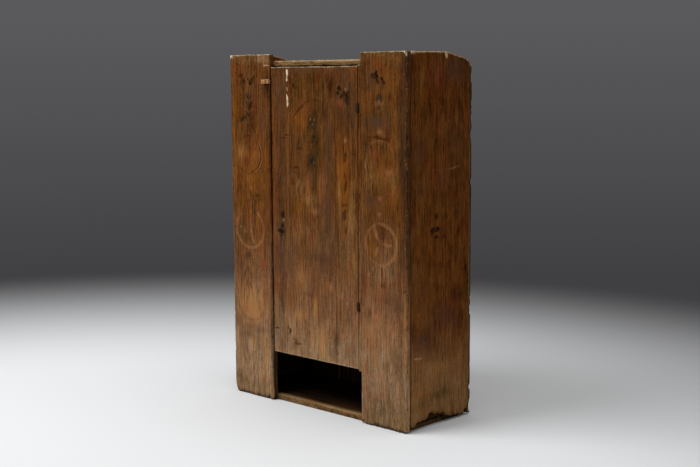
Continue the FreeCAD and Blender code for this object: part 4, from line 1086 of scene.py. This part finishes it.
# Front boards
FRONT = {"across": "x", "along": "z", "out": "-y", "steps": (2.8, 3.4),
         "material": PAINTED, "slot": "painted_pine"}
board("left_stile", seed=101, arris=(5.0, 2.5, 3.0, 3.0), pith=(-470.0, 150.0, 14.0, 18.0),
      low=worn_corner, side_wear=only(0, chips(301, cell=28, often=0.5, deep=3.0, reach=14)),
      end_wear=splinters(311, cell=8, foot=15.0, head=5.0), cracks=((-438.0, 2.0, 20.0, 330.0, 4.0),),
      look=left_stile_look, **FRONT)
board("right_stile", seed=102, arris=(1.5, 8.0, 3.0, 3.0), pith=(640.0, 80.0, 14.0, 18.0),
      side_wear=only(1, chips(302, cell=30, often=0.4, deep=4.0, reach=10)),
      end_wear=splinters(312, cell=8, foot=15.0, head=4.0), cracks=((428.0, 2.0, 10.0, 260.0, 3.0),),
      look=right_stile_look, **FRONT)
board("hinge_strip", seed=103, arris=1.6, look=front_look, side_wear=only(0, barrel_room), **FRONT)
DOOR = {"look": door_look, "high": door_head, **FRONT}
lock_board = board("door_lock_board", seed=104, arris=(2.5, 0.8, 2.0, 2.0), pith=(-420.0, 60.0, 10.0, 10.0),
                   right=slanted_seam(0), end_wear=splinters(313, cell=12, foot=1.0, head=2.5),
                   dents=(((-222, 858), (12, 20), 1.6),), **DOOR)
cut_keyhole(lock_board, **KEYHOLE)
board("door_middle_board", seed=105, arris=(0.8, 0.8, 2.0, 2.0), pith=(-300.0, 120.0, 16.0, 18.0),
      left=slanted_seam(0.3), side_wear=only(0, chips(303, cell=40, often=0.3, deep=3.0, reach=6)),
      end_wear=splinters(314, cell=12, foot=1.0, head=2.5), **DOOR)
board("door_hinge_board", seed=106, arris=(0.8, 2.0, 2.0, 2.0), pith=(208.0, 30.0, 6.0, 22.0),
      side_wear=only(1, barrel_room), end_wear=splinters(315, cell=12, foot=1.0, head=2.5), **DOOR)

# Sides, each of two boards; the right one has a rotten foot
FOOT_HEIGHT, FOOT_ROT = 60.0, 26.0
FOOT_SHARES = {
    "front": ((0.0, 0.17), (0.38, 0.32), (0.51, 0.75), (0.55, 1.0), (0.70, 0.78), (1.0, 0.5)),
    "rear": ((0.0, 0.5), (0.09, 0.37), (0.75, 0.2), (0.91, 0.35), (1.0, 0.57)),
}
for hand, out, marks, later in (("left", "-x", side_look, 0), ("right", "+x", right_side_look, 2)):
    for place, seed in (("front", 110), ("rear", 111)):
        name = f"{hand}_side_{place}_board"
        if place == "front":
            shape = {"arris": (1.0, 0.6, 2.0, 3.0), "pith": (-330.0, 90.0, 14.0, 18.0),
                     "right": closed_seam(name, "y", 1)}
        else:
            shape = {"arris": (0.6, 3.0, 2.0, 3.0), "pith": (330.0, 90.0, 14.0, 18.0),
                     "left": closed_seam(name, "y", 0), "high": sloped_head,
                     "side_wear": only(1, chips(320, cell=34, often=0.6, deep=7.0, reach=60))}
        if hand == "right":
            shape["low"] = foot_line(name, FOOT_SHARES[place], FOOT_HEIGHT)
            shape["end_wear"] = rotten_foot(330 + seed, FOOT_ROT)
        else:
            shape["end_wear"] = splinters(330 + seed, cell=8, foot=6.0, head=4.0)
        if name == "right_side_rear_board":
            shape["cracks"] = ((190.0, 5.0, 560.0, 790.0, 9.0),)
        board(name, "y", "z", out, SIDE, "side_pine", seed + later, (3.6, 4.2), look=marks, **shape)

# Back, levels, cleats and ledges, all of dry pine
DRY = {"material": INNER, "slot": "inner_pine"}
for k in range(1, 5):
    name = f"back_board_{k}"
    shape = {"end_wear": splinters(350 + k, cell=12, foot=5.0, head=5.0), "high": back_head}
    if k > 1:
        shape["left"] = closed_seam(name, "x", 0)
    if k < 4:
        shape["right"] = closed_seam(name, "x", 1)
    if k in (1, 4):
        shape["side_wear"] = only(k // 4, chips(340 + k, cell=36, often=0.8, deep=8.0, reach=60))
    board(name, "x", "z", "+y", seed=120 + k, steps=(6.0, 7.0), arris=1.5, look=back_look, **shape, **DRY)
LEVELS = (("top", top_look, inner_look, 3.0), ("bottom", bottom_look, niche_shade_look, 6.0),
          ("niche_shelf", inner_look, inner_look, 3.0), ("middle_shelf", inner_look, inner_look, 3.0),
          ("upper_shelf", inner_look, inner_look, 3.0))
for k, (level, front_marks, other_marks, chip_depth) in enumerate(LEVELS):
    board(f"{level}_front_board", "y", "x", "+z", seed=130 + 2 * k, steps=(5.0, 7.0), look=front_marks,
          side_wear=only(0, chips(360 + k, cell=26, often=0.6, deep=chip_depth, reach=30)), **DRY)
    board(f"{level}_rear_board", "y", "x", "+z", seed=131 + 2 * k, steps=(5.0, 7.0), look=other_marks, **DRY)
    for hand, out, seed in (("left", "+x", 150), ("right", "-x", 151)):
        board(f"{hand}_{level}_cleat", "z", "y", out, seed=seed + 2 * k, steps=(4.0, 8.0),
              look=other_marks, **DRY)
for name, seed in (("lower", 170), ("upper", 171)):
    board(f"door_{name}_ledge", "z", "x", "+y", seed=seed, steps=(4.0, 6.0), arris=4.0,
          look=inner_look, **DRY)

# Whittled button
board("turn_button", "z", "x", "-y", RAW, "raw_pine", 180, (1.2, 1.6), arris=3.0, warp=1.0,
      pith=(1540.0, 40.0, 2.0, 2.0), left=button_edge(1559.0, 0.02), right=button_edge(1579.0, 0.04),
      end_wear=splinters(316, cell=5, foot=4.0, head=4.0), cracks=((1572.0, 1.6, -325.0, -240.0, 3.0),))

# Iron that keeps its CAD shape
WAXED_NAILS = ("stile_nails", "ledge_nails", "hinge_strip_pins", "turn_button_nail")
for node, piece in frame["nodes"].items():
    metal = None
    if node in WAXED_NAILS:
        metal = WAXED_IRON
    elif node.startswith("lock_") and node != "lock_nails":
        metal = SHEET
    elif "nail" in node or "pins" in node or node.endswith("_half"):
        metal = FORGED
    if metal:
        piece.data.materials.clear()
        piece.data.materials.append(metal)

# Stage: a pale floor that melts into the grey of the studio, a painted pool of light, and two soft lamps
FLOOR_RADIUS = 7600.0
LIT_POOL_CENTRE, LIT_POOL_FADE = (0.0, -1.6, 0.0), (1.8, 5.4)       # metres, as for the lamps and the camera
SOFT_BOXES = (("key_softbox", (-2.2, -3.6, 6.4), (0.0, 0.0, 0.85), 4.0, 420.0),
              ("top_softbox", (1.4, 0.2, 6.5), (0.6, 0.0, 0.0), 4.5, 110.0))
scene = bpy.context.scene
scene.view_settings.view_transform = "Standard"


def studio_floor():
    """Matt pale studio floor, a round painted pool of light that fades into the grey backdrop as the light
    falls off, so that no edge shows.
    """
    material, tree, shader = new_material("pale_studio_floor")
    shader.inputs["Base Color"].default_value = linear("dadcde")
    shader.inputs["Roughness"].default_value = 0.9
    place = put(tree, "TexCoord", give="Object")
    far = put(tree, "VectorMath", {0: place, 1: LIT_POOL_CENTRE}, "Value", operation="DISTANCE")
    clear = put(tree, "MapRange", {0: far, 1: LIT_POOL_FADE[0], 2: LIT_POOL_FADE[1]}, interpolation_type="SMOOTHSTEP")
    faded = put(tree, "MixShader", {0: clear, 1: shader.outputs[0], 2: put(tree, "BsdfTransparent")})
    tree.links.new(faded, tree.nodes["Material Output"].inputs["Surface"])
    return material


def floor_disc(radius, rings, spokes):
    """A flat disc: radius share times cosine and sine of the turn, with one point at the centre."""
    shares, turns = np.linspace(0, 1, rings)[1:], np.arange(spokes) * 2 * np.pi / spokes
    share, turn = np.meshgrid(shares, turns, indexing="ij")
    points = np.stack([radius * share * np.cos(turn), radius * share * np.sin(turn), 0 * turn], -1)
    points = np.concatenate([points.reshape(-1, 3), np.zeros((1, 3))])
    index = np.arange((rings - 1) * spokes).reshape(rings - 1, spokes)
    turned = np.roll(index, -1, 1)
    quads = np.stack([index[:-1], index[1:], turned[1:], turned[:-1]], -1).reshape(-1, 4)
    hub = np.full(spokes, len(points) - 1)
    triangles = np.stack([hub, index[0], turned[0]], 1)
    return mesh_piece("studio_floor", points, quads, triangles, {}, studio_floor())


def studio_world():
    """A grey wall, darker below, for the eye and for reflections, and soft white light for all else."""
    world = bpy.data.worlds.new("studio")
    world.use_nodes = True
    tree = world.node_tree
    rays = put(tree, "LightPath").node.outputs
    seen = put(tree, "Math", {0: rays["Is Camera Ray"], 1: rays["Is Glossy Ray"]}, operation="MAXIMUM")
    seen = put(tree, "Math", {0: seen, 1: rays["Is Transmission Ray"]}, operation="MAXIMUM")
    height = put(tree, "SeparateXYZ", {0: put(tree, "TexCoord", give="Generated")}, "Z")
    height = put(tree, "MapRange", {0: height, 1: -0.16, 2: 0.06})
    grey = put(tree, "Mix", {0: height, 6: linear("403f41"), 7: linear("5b5a5c")}, 2, data_type="RGBA")
    wall = put(tree, "Background", {"Color": grey, "Strength": 1.0})
    soft_light = put(tree, "Background", {"Color": linear("fbfaf8"), "Strength": 0.42})
    both = put(tree, "MixShader", {0: seen, 1: soft_light, 2: wall})
    tree.links.new(both, tree.nodes["World Output"].inputs["Surface"])
    return world


def soft_lamp(name, place, aim, size, power):
    """A square soft box in metres that faces a point."""
    lamp = bpy.data.lights.new(name, "AREA")
    lamp.size, lamp.energy = size, power
    holder = bpy.data.objects.new(name, lamp)
    holder.location = place
    holder.rotation_euler = (Vector(aim) - Vector(place)).to_track_quat("-Z", "Y").to_euler()
    scene.collection.objects.link(holder)


floor_disc(FLOOR_RADIUS, 32, 96)
scene.world = studio_world()
for soft_box in SOFT_BOXES:
    soft_lamp(*soft_box)

# Camera at the photograph's place: turned about the upright, tipped down and rolled a little
CAMERA_PLACE = Vector((4.007, -4.198, 1.586))
FOCAL_PIXELS, PICTURE_WIDTH, SENSOR_WIDTH = 1207.0, 700.0, 36.0
turn, tip, roll = map(math.radians, (43.54, 7.36, -0.33))
level = Vector((-math.sin(turn), math.cos(turn), 0))
aside = Vector((math.cos(turn), math.sin(turn), 0))
ahead = level * math.cos(tip) - Vector((0, 0, math.sin(tip)))
upward = level * math.sin(tip) + Vector((0, 0, math.cos(tip)))
right_hand = aside * math.cos(roll) + upward * math.sin(roll)
upward = upward * math.cos(roll) - aside * math.sin(roll)
camera_data = bpy.data.cameras.new("camera")
camera_data.sensor_width = SENSOR_WIDTH
camera_data.lens = SENSOR_WIDTH * FOCAL_PIXELS / PICTURE_WIDTH
camera = bpy.data.objects.new("camera", camera_data)
camera_turn = Matrix((right_hand, upward, -ahead)).transposed().to_4x4()
camera.matrix_world = Matrix.Translation(CAMERA_PLACE) @ camera_turn
scene.collection.objects.link(camera)
scene.camera = camera
